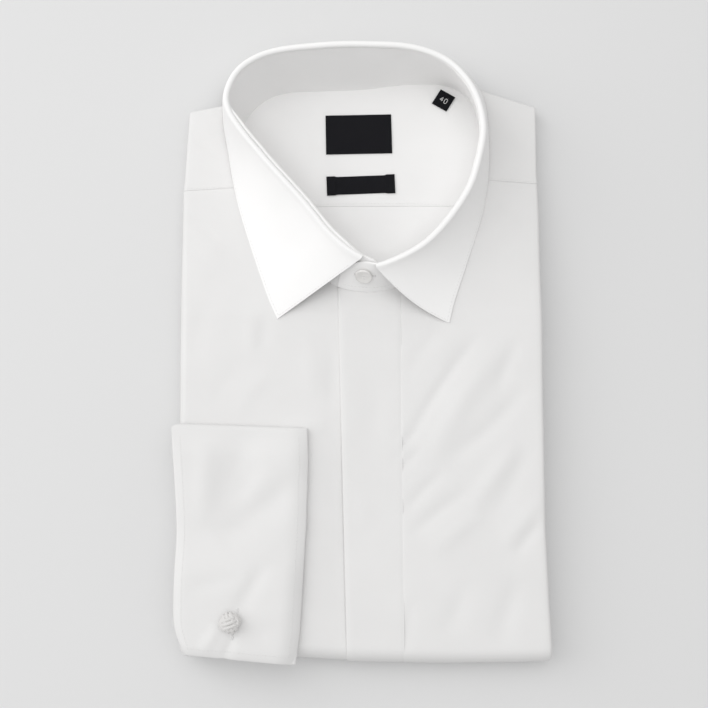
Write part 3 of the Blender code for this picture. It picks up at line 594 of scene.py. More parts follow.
def left_neck_y(x):
    """Top of the left-hand front: yoke seam, then the neckline down to the placket."""
    if x <= NECK_LEFT_X:
        share = share_between(x, NECK_LEFT_X, left_x(FRONT_SEAM_LEFT))
        return FRONT_SEAM_LEFT - FRONT_SEAM_DROP * share
    return float(np.interp(x, [p[0] for p in LEFT_NECK], [p[1] for p in LEFT_NECK]))


def right_neck_y(x):
    """Top of the right-hand front, in the same way."""
    if x >= NECK_RIGHT_X:
        share = share_between(x, NECK_RIGHT_X, right_x(FRONT_SEAM_RIGHT))
        return FRONT_SEAM_RIGHT - FRONT_SEAM_DROP * share
    return float(np.interp(x, [p[0] for p in RIGHT_NECK], [p[1] for p in RIGHT_NECK]))


def placket_x(y):
    """Left edge of the fly placket."""
    return table_at(PLACKET_EDGES, y)[0]


def placket_right_x(y):
    """Right edge of the fly placket."""
    return table_at(PLACKET_EDGES, y)[1]


# Cloth meshes
def grid_points(columns, rows, place):
    """The points of a sheet: place(column, row) for every pair."""
    return np.array([[tuple(place(c, r)) for r in rows] for c in columns])


def grid_normals(points):
    """Unit normal at each grid point."""
    across = np.gradient(points, axis=0)
    ahead = np.gradient(points, axis=1)
    normal = np.cross(across, ahead)
    return normal / np.maximum(np.linalg.norm(normal, axis=2, keepdims=True), 1e-9)


def upward_normals(points, column, row):
    """Normals of a grid, turned so that they point up there on its shown face."""
    normals = grid_normals(points)
    return normals if normals[column, row, 2] > 0 else -normals


def cloth_lengths(points):
    """Place of each grid point in the flat cloth, in metres along both ways of the weave."""
    across = np.linalg.norm(np.diff(points, axis=0), axis=2).mean(axis=1)
    ahead = np.linalg.norm(np.diff(points, axis=1), axis=2).mean(axis=0)
    return np.append(0, np.cumsum(across)) * MM, np.append(0, np.cumsum(ahead)) * MM


def cloth_piece(name, points, flip=False):
    """A cloth sheet as an object, from a grid of points in millimetres."""
    columns, rows = points.shape[0] - 1, points.shape[1] - 1
    bm = bmesh.new()
    bmesh.ops.create_grid(bm, x_segments=columns, y_segments=rows, size=0.5)
    cloth = bm.loops.layers.uv.new("cloth")
    across, ahead = cloth_lengths(points)
    places = {}
    for vert in bm.verts:
        i, j = round((vert.co.x + 0.5) * columns), round((vert.co.y + 0.5) * rows)
        places[vert.index] = (i, j)
    bm.verts.ensure_lookup_table()
    for face in bm.faces:
        for loop in face.loops:
            i, j = places[loop.vert.index]
            loop[cloth].uv = (across[i], ahead[j])
    for vert in bm.verts:
        x, y, z = points[places[vert.index]]
        vert.co = ((x - ORIGIN_X) * MM, (y - ORIGIN_Y) * MM, z * MM)
    bmesh.ops.remove_doubles(bm, verts=bm.verts, dist=WELD * MM)
    if flip:
        bmesh.ops.reverse_faces(bm, faces=bm.faces)
    return mesh_object(name, bm)


def mesh_object(name, bm):
    """A smooth-shaded object in the scene, from a finished bmesh."""
    mesh = bpy.data.meshes.new(name)
    bm.to_mesh(mesh)
    bm.free()
    mesh.shade_smooth()
    obj = bpy.data.objects.new(name, mesh)
    bpy.context.scene.collection.objects.link(obj)
    return obj


def give_wall(obj, thickness, offset, edge=0.0):
    """Give a sheet its thickness, and a softly rounded rim."""
    wall = obj.modifiers.new("wall", "SOLIDIFY")
    wall.thickness = thickness * MM
    wall.offset = offset
    wall.use_even_offset = True
    if edge:
        rim = obj.modifiers.new("rim", "BEVEL")
        rim.limit_method = "ANGLE"
        rim.angle_limit = math.radians(50)
        rim.width = edge * MM
        rim.segments = 2


def wear(obj, node, finish, body="root"):
    """Let a piece stand for a node and take its finish."""
    obj.data.materials.append(finish)
    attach(obj, body)
    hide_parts(node)


# Stitching: plain rows of stitches, and close satin stitches round a buttonhole
STITCH_PITCH = 2.1
STITCH_SIZE = (1.7, 0.28)
STITCH_LIFT = 0.04
SATIN_PITCH = 0.36
SATIN_SIZE = (0.9, 0.34)
SATIN_SIDE = 0.55
BAR_SIZE = (1.9, 0.34)
BAR_SHIFTS = (-0.2, 0.2)


def add_stitch(bm, centre, run, facing, size):
    """One stitch lying along run on cloth that faces that way."""
    run = (run - facing * run.dot(facing)).normalized()
    turn = Matrix((run, facing.cross(run), facing)).transposed().to_4x4()
    shape = Matrix.Diagonal((size[0] / 2, size[1] / 2, size[1] / 2, 1))
    place = Matrix.Translation(centre - Vector((ORIGIN_X, ORIGIN_Y, 0)))
    matrix = Matrix.Scale(MM, 4) @ place @ turn @ shape
    bmesh.ops.create_icosphere(bm, subdivisions=1, radius=1.0, matrix=matrix)


def paced(line, pitch):
    """Places a pitch apart along a line of (point, facing), with the way that the line runs."""
    due = pitch / 2
    places = []
    for (a, facing), (b, _) in zip(line, line[1:]):
        run = b - a
        while run.length and due <= run.length:
            places.append((a + run * (due / run.length), run.normalized(), facing.normalized()))
            due += pitch
        due -= run.length
    return places


def add_seam(bm, line):
    """A row of stitches along a line."""
    for centre, run, facing in paced(line, STITCH_PITCH):
        add_stitch(bm, centre, run, facing, STITCH_SIZE)


def add_buttonhole(bm, line):
    """Close satin stitches on both sides of a slit along the line, and across its ends."""
    places = paced(line, SATIN_PITCH)
    for centre, run, facing in places:
        side = facing.cross(run)
        for way in (-1, 1):
            add_stitch(bm, centre + side * way * SATIN_SIDE, side, facing, SATIN_SIZE)
    for centre, run, facing in (places[0], places[-1]):
        for shift in BAR_SHIFTS:
            add_stitch(bm, centre + run * shift, facing.cross(run), facing, BAR_SIZE)


def grid_line(points, normals, cells, lift):
    """A line through grid cells, lifted off the sheet along its normals."""
    line = []
    for i, j in cells:
        facing = Vector(normals[i, j])
        line.append((Vector(points[i, j]) + facing * lift, facing))
    return line


def thread_piece(name, bm, node, finish):
    """Make all stitches of a node into one piece."""
    wear(mesh_object(name, bm), node, finish)


# Relief of soft cloth
def soft_noise(points, size, seed):
    """Smooth noise at each grid point, from about -1 to 1."""
    flat = points.reshape(-1, 3) / size + seed * 17.3
    return np.array([noise.noise(Vector(p)) for p in flat]).reshape(points.shape[:2])


def crease(points, start, stop, bend, width, depth):
    """A soft trough, or a ridge with a negative depth, along a bent line in plan."""
    start, stop = np.array(start), np.array(stop)
    run = stop - start
    length = np.linalg.norm(run)
    run = run / length
    side = np.array((-run[1], run[0]))
    from_start = points[:, :, :2] - start
    share = from_start @ run / length
    off = from_start @ side - bend * 4 * share * (1 - share)
    inside = np.clip(share, 0, 1)
    taper = np.sin(math.pi * inside) ** 0.7 * (share > 0) * (share < 1)
    return -depth * np.exp(-(off / width) ** 2) * taper


def relieve(points, normals, table, unevenness, hidden=(), calm=1.0):
    """Move a sheet's points by its creases and unevenness, along its normals, as far as calm lets."""
    height = soft_noise(points, 38.0, 1) + 0.35 * soft_noise(points, 14.0, 2)
    height = unevenness * height
    shown = np.clip(normals[:, :, 2], 0, 1)
    for row in table:
        height = height + crease(points, *row) * shown
    turned = np.clip(-normals[:, :, 2], 0, 1)
    for row in hidden:
        height = height + crease(points, *row) * turned
    return points + normals * (height * calm)[:, :, None]


# Creases on the fronts, seen from above: start, end, bend, half width, depth
FRONT_LEFT_CREASES = (
    ((28.0, -56.8), (71.5, 8.4), 2.0, 3.0, 1.1),
    ((41.4, -65.2), (83.9, 2.1), 3.0, 7.0, -1.7),
    ((51.5, -64.1), (98.2, -21.3), -2.5, 5.0, 1.25),
    ((64.5, -91.8), (90.8, -55.1), 0.5, 5.0, -1.2),
    ((74.4, -99.5), (98.6, -54.0), -1.0, 5.0, 0.7),
    ((81.9, -111.6), (104.7, -84.1), 0.5, 4.0, -0.8),
    ((88.5, -115.9), (105.0, -96.2), 0.5, 2.8, 0.9),
    ((80.0, -25.9), (94.8, 7.2), 1.0, 4.0, 0.75),
    ((30.5, -14.5), (50.0, 13.0), 1.0, 4.0, 0.5),
    ((25.8, -55.7), (34.8, -46.7), 0.3, 1.9, 0.7),
    ((25.7, -68.0), (37.0, -57.9), 0.3, 2.2, 0.8),
    ((26.7, -92.9), (51.4, -68.0), 0.5, 3.2, 0.9),
    ((31.0, -105.5), (64.7, -79.6), 1.0, 4.0, 1.1),
    ((43.2, -113.8), (72.3, -91.8), 1.0, 5.0, -1.0),
    ((78.8, -164.5), (92.2, -126.8), 1.0, 6.0, 1.1),
    ((47.1, -161.3), (64.0, -129.0), -1.0, 6.0, 0.8),
    ((28.5, -167.8), (31.9, -139.8), 0.5, 3.0, 0.6),
    ((66.5, 57.1), (100.4, 89.0), -2.0, 6.0, -0.8),
    ((43.0, -9.9), (63.7, 17.6), -1.0, 6.0, -0.6),
    ((80.0, 92.0), (101.0, 78.0), -1.5, 3.5, 0.6),
)
FRONT_RIGHT_CREASES = (
    ((-58.6, 22.2), (-58.9, -3.1), 0.5, 4.0, -0.55),
    ((-49.5, 21.0), (-52.1, -3.1), -0.5, 4.0, 0.45),
    ((-66.4, -37.2), (-46.4, -11.1), 1.0, 4.0, -0.5),
    ((-80.0, -31.5), (-61.1, -6.5), 1.0, 4.5, 0.45),
    ((-11.9, 4.9), (-12.9, -37.2), 0.5, 4.0, 0.7),
    ((-26.1, 9.5), (-23.7, -30.4), 0.5, 5.0, -0.5),
    ((-40.4, -43.9), (-14.6, -45.0), 0.5, 4.0, -0.8),
    ((-89.4, -6.5), (-84.4, 28.0), 1.0, 6.0, 0.5),
    ((-43.3, 28.0), (-33.2, 50.1), 1.0, 5.0, -0.4),
    ((-98.0, 78.0), (-78.0, 64.0), 0.5, 2.2, 0.7),
    ((-98.0, 70.0), (-74.0, 52.0), 1.5, 4.4, -0.6),
    ((-7.0, -34.0), (-7.0, -182.0), 0.0, 11.0, 1.4),
)

# The hidden tail side, seen from above too
TAIL_CREASES = (
    ((-70.0, -120.0), (-20.0, -60.0), 6.0, 7.0, 0.6),
    ((20.0, -40.0), (84.0, 10.0), -5.0, 8.0, 0.6),
    ((-88.0, 20.0), (-46.0, 74.0), 4.0, 6.0, 0.5),
    ((48.0, -150.0), (92.0, -104.0), 3.0, 6.0, 0.5),
    ((-8.0, 60.0), (40.0, 118.0), -6.0, 8.0, 0.5),
)


def body_rows():
    """Rows down the chest and front, round the turn, up the underside, into the rolled end."""
    rows = [("chest", k / 32) for k in (0, 0.2, 0.4, 0.65, 1, 1.4, 2)]
    rows += [("chest", k / 32) for k in range(3, 32)]
    rows += [("front", y) for y in steps(CHEST_Y, TURN_Y, 2.2)[:-1]]
    rows += [("turn", k / 12) for k in range(12)]
    rows += [("tail", y) for y in steps(TURN_Y, TAIL_END_Y, 5.0)]
    return rows + [("roll", k / 8) for k in range(9)]


def body_place(start_y, flat_x, side):
    """Place function of a sheet that follows the fold from the chest to the rolled-in tail."""
    starts = {}

    def chest_y(share, value):
        if share not in starts:
            y = CHEST_Y
            for _ in range(4):
                y = start_y(flat_x(share, y))
            starts[share] = y
        y = CHEST_Y
        for _ in range(3):
            y = blend(start_y(flat_x(share, y)), CHEST_Y, value)
        return y

    def place(column, row, depth):
        kind, step = column
        share = 0.0 if kind == "roll" else step
        row, value = row
        y = {"turn": TURN_Y, "roll": north_y(flat_x(share, SHOULDER_Y))}.get(row, value)
        if row == "tail":
            end = north_y(flat_x(share, SHOULDER_Y))
            y = blend(TURN_Y, end, share_between(value, TURN_Y, TAIL_END_Y))
        if row == "chest":
            y = chest_y(share, value)
        s = under(y) if row in ("tail", "roll") else along(y)
        if row == "turn":
            s = math.pi * HALF_BODY * value
        x = flat_x(share, y)
        across = side * step if kind == "roll" else 0
        ahead = value if row == "roll" else 0
        turned = max(abs(across), ahead)
        heading = corner_heading(across, ahead)
        out, rise = rolled(half(y), ROLL_END * turned, depth, heading[0])
        return slab_point(x, s, heading, out, rise, depth)

    return place


def front_columns(width):
    """Columns of a front panel: rolled edge, then the flat part as shares of its width."""
    flat = [d / width for d in steps(0.0, width, 2.2, far=(0.0, 0.5, 1.0, 1.6, 2.4, 3.4))]
    return [("roll", 1 - k / 10) for k in range(10)] + [("flat", share) for share in flat]


# A front slips under its neighbours: width under the placket, depth, how fast it gets there
UNDER_PLACKET = 2.0
TUCK_DEPTH = 0.8
TUCK_FADE = 0.8
TUCK_ROWS = 24
FLOOR_CLEAR = 0.05


def row_calm(row):
    """How much relief a row takes: the hidden tail has less and less, its rolled end none."""
    kind, value = row
    if kind == "roll":
        return 0.0
    return smooth((TAIL_END_Y - value) / TAIL_CALM) if kind == "tail" else 1.0


def build_front(name, node, start_y, edge_x, seam_x, side, creases, finish):
    """One front: wraps its side edge and slips under the placket and the yoke."""

    def flat_x(share, y):
        return blend(edge_x(y), seam_x(y) - side * UNDER_PLACKET, share)

    width = abs(flat_x(1.0, 0.0) - flat_x(0.0, 0.0))
    columns = front_columns(width)
    rows = body_rows()
    place = body_place(start_y, flat_x, side)

    def tucked(column, row):
        kind, share = column
        tuck = 0.0
        if kind == "flat":
            tuck = smooth(1 - (1 - share) * width / (UNDER_PLACKET + TUCK_FADE))
        if row[0] == "chest":
            tuck = max(tuck, smooth(1 - row[1] * TUCK_ROWS))
        point = place(column, row, 0.0)
        if tuck and row[0] == "turn":
            centre = Vector((point.x, TURN_Y + bow(point.x, TURN_Y), 2 * HALF_BODY))
            return point.lerp(centre, tuck * TUCK_DEPTH / (2 * HALF_BODY))
        point.z += (-1 if row[0] in ("chest", "front") else 1) * tuck * TUCK_DEPTH
        return point

    points = grid_points(columns, rows, tucked)
    normals = upward_normals(points, len(columns) // 2, rows.index(("turn", 0.0)) - 5)
    calm = np.array([row_calm(row) for row in rows])
    points = relieve(points, normals, creases, unevenness=0.3, hidden=TAIL_CREASES, calm=calm)
    points[:, :, 2] = np.maximum(points[:, :, 2], FLOOR_CLEAR)
    piece = cloth_piece(name, points, flip=side > 0)
    give_wall(piece, POPLIN, -1.0)
    wear(piece, node, finish)
    return piece


def build_placket(finish, thread):
    """Fly placket: folded left edge standing proud, right edge sewn down."""
    columns = [("under", d) for d in (9.0, 6.0, 3.5, 2.0, 1.0, 0.4)]
    columns += [("nose", k / 6) for k in range(7)]
    columns += [("top", d) for d in (0.4, 0.8, 1.2, 1.7, 2.3, 2.9, PLACKET_FLAT_LEFT)]
    columns += [("middle", k / 16) for k in range(1, 16)]
    columns += [("edge", d) for d in (PLACKET_FLAT_RIGHT, 2.4, 1.7, 1.1, 0.6, 0.2, -0.2, -0.5)]
    rows = body_rows()
    middle_shares = (PLACKET_FLAT_LEFT / PLACKET_WIDTH, 1 - PLACKET_FLAT_RIGHT / PLACKET_WIDTH)

    def top_x(y, value):
        return placket_x(y) + PLACKET_NOSE + value

    def middle_x(y, value):
        return blend(top_x(y, PLACKET_FLAT_LEFT), placket_right_x(y) - PLACKET_FLAT_RIGHT, value)

    def surface(x, row, rise):
        place = body_place(lambda _: PLACKET_TOP_Y + TUCK_UP, lambda share, y: x(y), 0)
        return place(("flat", 0.0), row, -rise)

    def place(column, row):
        kind, value = column
        lift = smooth({"chest": 1.0, "front": 1.0, "turn": 1.0 - row[1]}.get(row[0], 0.0))
        high, low = PLACKET_RISE * lift, PLACKET_FLUSH * lift
        if kind == "under":
            rise = high - PLACKET_ROUND - 2 * PLACKET_NOSE
            return surface(lambda y: top_x(y, value), row, rise)
        if kind == "nose":
            angle = math.pi * value
            rise = high - PLACKET_ROUND - PLACKET_NOSE * (1 + math.cos(angle))
            return surface(lambda y: top_x(y, -PLACKET_NOSE * math.sin(angle)), row, rise)
        if kind == "top":
            down = PLACKET_ROUND * max(0.0, 1 - value / PLACKET_ROUND_REACH) ** 2
            rise = blend(high, low, value / PLACKET_WIDTH) - down
            return surface(lambda y: top_x(y, value), row, rise)
        if kind == "middle":
            rise = blend(high, low, blend(*middle_shares, value))
            return surface(lambda y: middle_x(y, value), row, rise)
        down = PLACKET_SEWN * smooth(1 - value / PLACKET_SEWN_REACH)
        share = min(1 - value / PLACKET_WIDTH, 1.0)
        return surface(lambda y: placket_right_x(y) - value, row, blend(high, low, share) - down)

    points = grid_points(columns, rows, place)
    shown = [j for j, row in enumerate(rows) if row[0] in ("chest", "front")]
    shown_cell = (len(columns) // 2, shown[-5])
    points = relieve(points, upward_normals(points, *shown_cell), PLACKET_CREASES, unevenness=0.1)
    points[:, :, 2] = np.maximum(points[:, :, 2], FLOOR_CLEAR)
    piece = cloth_piece("fly_placket_cloth", points)
    give_wall(piece, PLACKET_PLY, -1.0)
    wear(piece, "fly_placket", finish)
    normals = upward_normals(points, *shown_cell)
    bm = bmesh.new()
    add_seam(bm, grid_line(points, normals, [(len(columns) - 5, j) for j in shown], STITCH_LIFT))
    thread_piece("placket_stitches", bm, "fly_placket", thread)


PLACKET_CREASES = (
    ((-1.1, -10.1), (-3.4, -55.2), 0.5, 6.0, -0.4),
    ((13.0, -18.0), (10.1, -58.6), 0.5, 6.0, 0.4),
    ((21.3, -51.9), (26.9, -46.2), 0.2, 2.0, 0.25),
    ((20.1, -64.1), (27.4, -58.6), -0.2, 2.0, 0.25),
    ((3.3, -77.5), (6.6, -101.7), 0.5, 5.0, -0.3),
    ((-2.3, 17.4), (21.5, 5.9), 1.0, 7.0, 0.3),
    ((0.0, -134.4), (23.1, -143.0), 1.0, 7.0, 0.25),
)


def yoke_edge():
    """Outer line of the yoke from the left front seam round to the right: place, heading."""
    corner_left = (left_x(SHOULDER_Y), north_y(left_x(SHOULDER_Y)))
    corner_right = (right_x(SHOULDER_Y), north_y(right_x(SHOULDER_Y)))
    turns = [90 * k / YOKE_CORNER_STEPS for k in range(YOKE_CORNER_STEPS + 1)]
    ends = [seam - FRONT_SEAM_DROP - YOKE_LAP for seam in (FRONT_SEAM_LEFT, FRONT_SEAM_RIGHT)]
    line = [(left_x(y), y, 180.0) for y in (ends[0], YOKE_SIDE_ROW)]
    line += [(*corner_left, 180.0 - a) for a in turns]
    line += [(x, north_y(x), 90.0) for _, x in YOKE_BACK]
    line += [(*corner_right, 90.0 - a) for a in turns]
    line += [(right_x(y), y, 0.0) for y in (YOKE_SIDE_ROW, ends[1])]
    return line


def yoke_stations():
    """Place on the collar ring where each of the yoke's columns starts."""
    spread = [YOKE_CORNER_SPREAD * k for k in range(YOKE_CORNER_STEPS + 1)]
    left_side, left_corner = YOKE_LEFT_STATIONS
    right_corner, right_side = YOKE_RIGHT_STATIONS
    stations = [NECK_LEFT - YOKE_SEAM_BACK, left_side]
    stations += [left_corner + step for step in spread]
    stations += [station for station, _ in YOKE_BACK]
    stations += [right_corner + step for step in spread]
    return stations + [right_side, NECK_RIGHT + YOKE_SEAM_BACK]


def between(table, place):
    """A table's columns at a fractional place in its list."""
    i = min(int(place), len(table) - 2)
    return [blend(a, b, place - i) for a, b in zip(table[i], table[i + 1])]


YOKE_CREASES = (
    ((-98.0, 130.0), (-72.0, 110.0), 1.0, 4.0, 0.4),
    ((-92.0, 112.0), (-72.0, 104.0), 1.0, 3.0, -0.25),
    ((80.0, 140.0), (104.0, 122.0), -1.0, 4.5, 0.4),
    ((84.0, 118.0), (104.0, 108.0), 0.5, 3.0, -0.25),
)


def build_yoke(finish, thread):
    """Both shoulders and the back below the stand, rolled over the shoulder line."""
    table = [(*edge, station) for edge, station in zip(yoke_edge(), yoke_stations())]
    columns = steps(0.0, len(table) - 1.0, 0.14, near=YOKE_ENDS, far=YOKE_ENDS)
    rows = [("flat", k / 16) for k in range(17)] + [("roll", k / 10) for k in range(1, 11)]

    def place(column, row):
        x, y, heading, station = between(table, column)
        kind, value = row
        edge = YOKE_SEAM_LIFT * smooth(1 - min(column, len(table) - 1 - column) / YOKE_SEAM_FADE)
        if kind == "flat":
            inner = seam_flat(station)
            x, y = blend(inner.x, x, value), blend(inner.y, y, value)
            return Vector((x, y, top_z(y) + edge))
        angle = math.radians(heading)
        out, rise = rolled(half(y), ROLL_END * value, -edge, math.cos(angle))
        return Vector((x + math.cos(angle) * out, y + math.sin(angle) * out, 3 * half(y) + rise))

    points = grid_points(columns, rows, place)
    points = relieve(points, upward_normals(points, *YOKE_SHOWN_CELL), YOKE_CREASES, unevenness=0.12)
    piece = cloth_piece("yoke_cloth", points, flip=grid_normals(points)[:, :16, 2].mean() < 0)
    give_wall(piece, POPLIN, -1.0)
    wear(piece, "yoke_outer", finish)
    normals = upward_normals(points, *YOKE_SHOWN_CELL)
    bm = bmesh.new()
    for column in (2, len(columns) - 3):
        add_seam(bm, grid_line(points, normals, [(column, j) for j in range(17)], STITCH_LIFT))
    thread_piece("yoke_stitches", bm, "yoke_outer", thread)


# Neck floor
FLOOR_CREASES = (
    ((30.0, 96.0), (62.0, 140.0), 4.0, 9.0, -0.7),
    ((-50.0, 134.0), (-24.0, 112.0), 3.0, 7.0, -0.6),
    ((-12.0, 62.0), (20.0, 80.0), -4.0, 8.0, 0.7),
    ((24.0, 52.0), (46.0, 78.0), 2.0, 6.0, -0.6),
)


def floor_point(x, y, lift=0.0):
    """A point on the neck floor, or a lift above it."""
    return Vector((x, y, top_z(y) - FLOOR_DEPTH + lift))


def build_floor(name, node, start, stop, line_y, finish, lift):
    """A floor piece between a straight seam across and the neckline from start to stop."""
    first, last = seam_flat(start), seam_flat(stop)

    def place(share, ahead):
        station = blend(start, stop, share)
        outline = seam_flat(station) + ring_outward(seam_flat, station) * FLOOR_UNDER_STAND
        x = blend(blend(first.x, last.x, share), outline.x, ahead)
        y = blend(line_y, outline.y, ahead)
        return floor_point(x, y, lift * smooth(1 - abs(y - INNER_SEAM_Y) / LAP_REACH))

    columns = [k / 60 for k in range(61)]
    rows = [0.0, 0.008, 0.02, 0.035] + [k / 32 for k in range(2, 33)]
    points = grid_points(columns, rows, place)
    turned = grid_normals(points)[FLOOR_SHOWN_CELL][2] < 0
    points = relieve(points, upward_normals(points, *FLOOR_SHOWN_CELL), FLOOR_CREASES, unevenness=0.5)
    piece = cloth_piece(name, points, flip=turned)
    give_wall(piece, POPLIN, -1.0)
    wear(piece, node, finish)
    normals = upward_normals(points, *FLOOR_SHOWN_CELL)
    return grid_line(points, normals, [(i, 2) for i in range(len(columns))], STITCH_LIFT)


def build_neck_floor(finish, thread):
    """Inner yoke lapped over the back panel, both lying in the neck well."""
    left = station_where(*LEFT_NECK_SPAN, lambda p: p.y < INNER_SEAM_Y)
    right = station_where(*RIGHT_NECK_SPAN, lambda p: p.y < INNER_SEAM_Y)
    seam = build_floor("inner_yoke_cloth", "yoke_inner", left, right, INNER_SEAM_Y - YOKE_LAP,
                       finish, YOKE_LAP_LIFT)
    bm = bmesh.new()
    add_seam(bm, seam)
    thread_piece("inner_yoke_stitches", bm, "yoke_inner", thread)
    build_floor("back_cloth", "back_panel", left + RING, right, INNER_SEAM_Y + BACK_LAP,
                finish, BACK_LAP_LIFT)


# Collar
def lap(u):
    """The stand's two ends pass each other at the centre front: sideways shift, outwards."""
    inside = smooth((LAP_FADE - u) / LAP_FADE)
    outside = smooth((u - (RING - LAP_FADE)) / LAP_FADE)
    return LAP_SHIFT * (outside - inside)


def placket_step(x, y):
    """How far the stand's foot steps up over the placket's top end."""
    share = min(x - placket_x(y), placket_right_x(y) - x) / STAND_STEP_UP + 1
    low, high = STAND_STEP_END
    across = min(1.0, max(0.0, (x - placket_x(y)) / PLACKET_WIDTH))
    rise = blend(PLACKET_RISE, PLACKET_FLUSH, across)
    return rise * smooth(share) * smooth((high - y) / (high - low))


def stand_point(u, share):
    """The stand's middle at a station; share runs from its foot to its top."""
    fold, shift = fold_at(u), lap(u)
    top = fold - ring_outward(fold_at, u) * (CAD_LEAF / 2 + 2 * FOLD_RADIUS - shift)
    top.z = fold.z - CAD_LEAF / 2 - FOLD_RADIUS - FOLD_LEG - STAND_CLEAR
    first, last = STAND_LEDGE_SPAN
    ledge = smooth((u - first) / STAND_LEDGE_FADE[0]) * smooth((last - u) / STAND_LEDGE_FADE[1])
    top += Vector((0, 0, STAND_LEDGE_UP * ledge)) - ring_outward(fold_at, u) * STAND_LEDGE_IN * ledge
    bottom = seam_at(u) + ring_outward(seam_flat, u) * shift
    bottom.z = top_z(bottom.y) + STAND_CLEAR + placket_step(bottom.x, bottom.y)
    late = smooth((u - RING) / (STAND_END - RING))
    early = smooth(-u / -STAND_START)
    return bottom.lerp(top, share * (1 - STAND_END_DROP * max(late, early)))


def stand_face(u, share):
    """Point on the stand's outside and the direction that it faces."""
    here = stand_point(u, share)
    run = stand_point(u + STATION_STEP, share) - stand_point(u - STATION_STEP, share)
    rise = stand_point(u, share + STATION_STEP) - stand_point(u, share - STATION_STEP)
    facing = rise.cross(run).normalized()
    return here + facing * STAND_PLY / 2, facing


def build_stand(finish, thread):
    """Standing band, its ends lapped at the centre front, its foot down to the neck floor."""
    columns = steps(STAND_START, STAND_END, 0.07, near=STAND_ENDS, far=STAND_ENDS)
    shares = [-0.16, -0.1, -0.05, -0.02] + [k / 14 for k in range(14)] + [1.0, 1.05]

    def place(u, share):
        if share >= 0:
            return stand_point(u, share)
        outer = smooth((u - RING + STAND_FOOT_FADE) / STAND_FOOT_FADE)
        foot = stand_point(u, share * blend(1.0, STAND_OUTER_FOOT, outer))
        foot.z -= placket_step(foot.x, foot.y) * min(1.0, -share / STAND_FOOT_DROP) * (1 - outer)
        return foot

    points = grid_points(columns, shares, place)
    normals = grid_normals(points)
    points = points + normals * (0.12 * soft_noise(points, 22.0, 3))[:, :, None]
    piece = cloth_piece("stand_cloth", points)
    give_wall(piece, STAND_PLY, 0.0, edge=COLLAR_RIM)
    wear(piece, "collar_stand", finish)
    normals = grid_normals(points)
    row = shares.index(STAND_SEAM_SHARE)
    bm = bmesh.new()
    inner, outer = [(i, row) for i in range(3, len(columns) - 3)], [(i, row) for i in range(3, 30)]
    other = [(len(columns) - 1 - i, j) for i, j in outer]
    add_seam(bm, grid_line(points, normals, inner, -STAND_PLY / 2))
    add_seam(bm, grid_line(points, normals, outer, STAND_PLY / 2))
    add_seam(bm, grid_line(points, normals, other, STAND_PLY / 2))
    hole = [stand_face(RING + BUTTON_STATION + step, BUTTON_UP) for step in COLLAR_BUTTONHOLE]
    add_buttonhole(bm, hole)
    thread_piece("stand_stitches", bm, "collar_stand", thread)


leaf_place = curve_through([(row[0], 0, 0) for row in LEAF_EDGE])
leaf_edge = curve_through([row[1:] for row in LEAF_EDGE])
LEAF_SECTION = [("leg", 0.0), ("leg", 0.5)] + [("fold", k / 8) for k in range(9)]
LEAF_SECTION += [("fall", k / 30) for k in range(1, 28)]
LEAF_SECTION += [("edge", d) for d in (2.6, 1.9, LEAF_SEAM_IN, 1.0, 0.7, 0.45, 0.2, 0.0)]


def leaf_line(t):
    """The leaf's section at t along its edge table, from the stand's top to the free edge."""
    u = leaf_place(t).x
    edge = leaf_edge(t)
    edge = Vector((edge.x, edge.y, top_z(edge.y) + edge.z - LEAF_LOWER * smooth(edge.z)))
    hollow = table_at(LEAF_HOLLOW, t)[0]
    bulge = Vector(LEAF_BOW) * smooth((t - LEAF_BOW_START) / (len(LEAF_EDGE) - 1 - LEAF_BOW_START))
    out, up = ring_outward(fold_at, u), Vector((0, 0, 1))
    axis = fold_at(u) - out * (CAD_LEAF / 2 + FOLD_RADIUS - lap(u)) - up * (CAD_LEAF / 2 + FOLD_RADIUS)
    chord = edge - axis
    away = Vector((chord.x, chord.y, 0))
    turn = math.pi / 2 + math.atan2(-chord.z, max(away.dot(out), 0.0) + 0.001)
    swell = (out * math.sin(turn - math.pi / 2) + up * math.cos(turn - math.pi / 2)) * -hollow

    def folded(angle):
        return axis - out * FOLD_RADIUS * math.cos(angle) + up * FOLD_RADIUS * math.sin(angle)

    start = folded(turn)
    length = (edge - start).length
    line = []
    for kind, value in LEAF_SECTION:
        if kind == "leg":
            line.append(axis - out * FOLD_RADIUS - up * FOLD_LEG * (1 - value))
        elif kind == "fold":
            line.append(folded(turn * value))
        else:
            share = value if kind == "fall" else 1 - value / length
            if kind == "fall" and value > 0.8:
                share = min(share, 1 - LEAF_FLAT_EDGE / length)
            early = max(share, 0.0) ** LEAF_SWELL_EARLY
            bend = swell * early * (1 - early) + bulge * share * (1 - share)
            line.append(start.lerp(edge, share) + bend * 4)
    return line


LEAF_CREASES = (
    ((-52.0, 60.0), (-38.0, 64.0), 0.5, 3.0, 0.1),
)


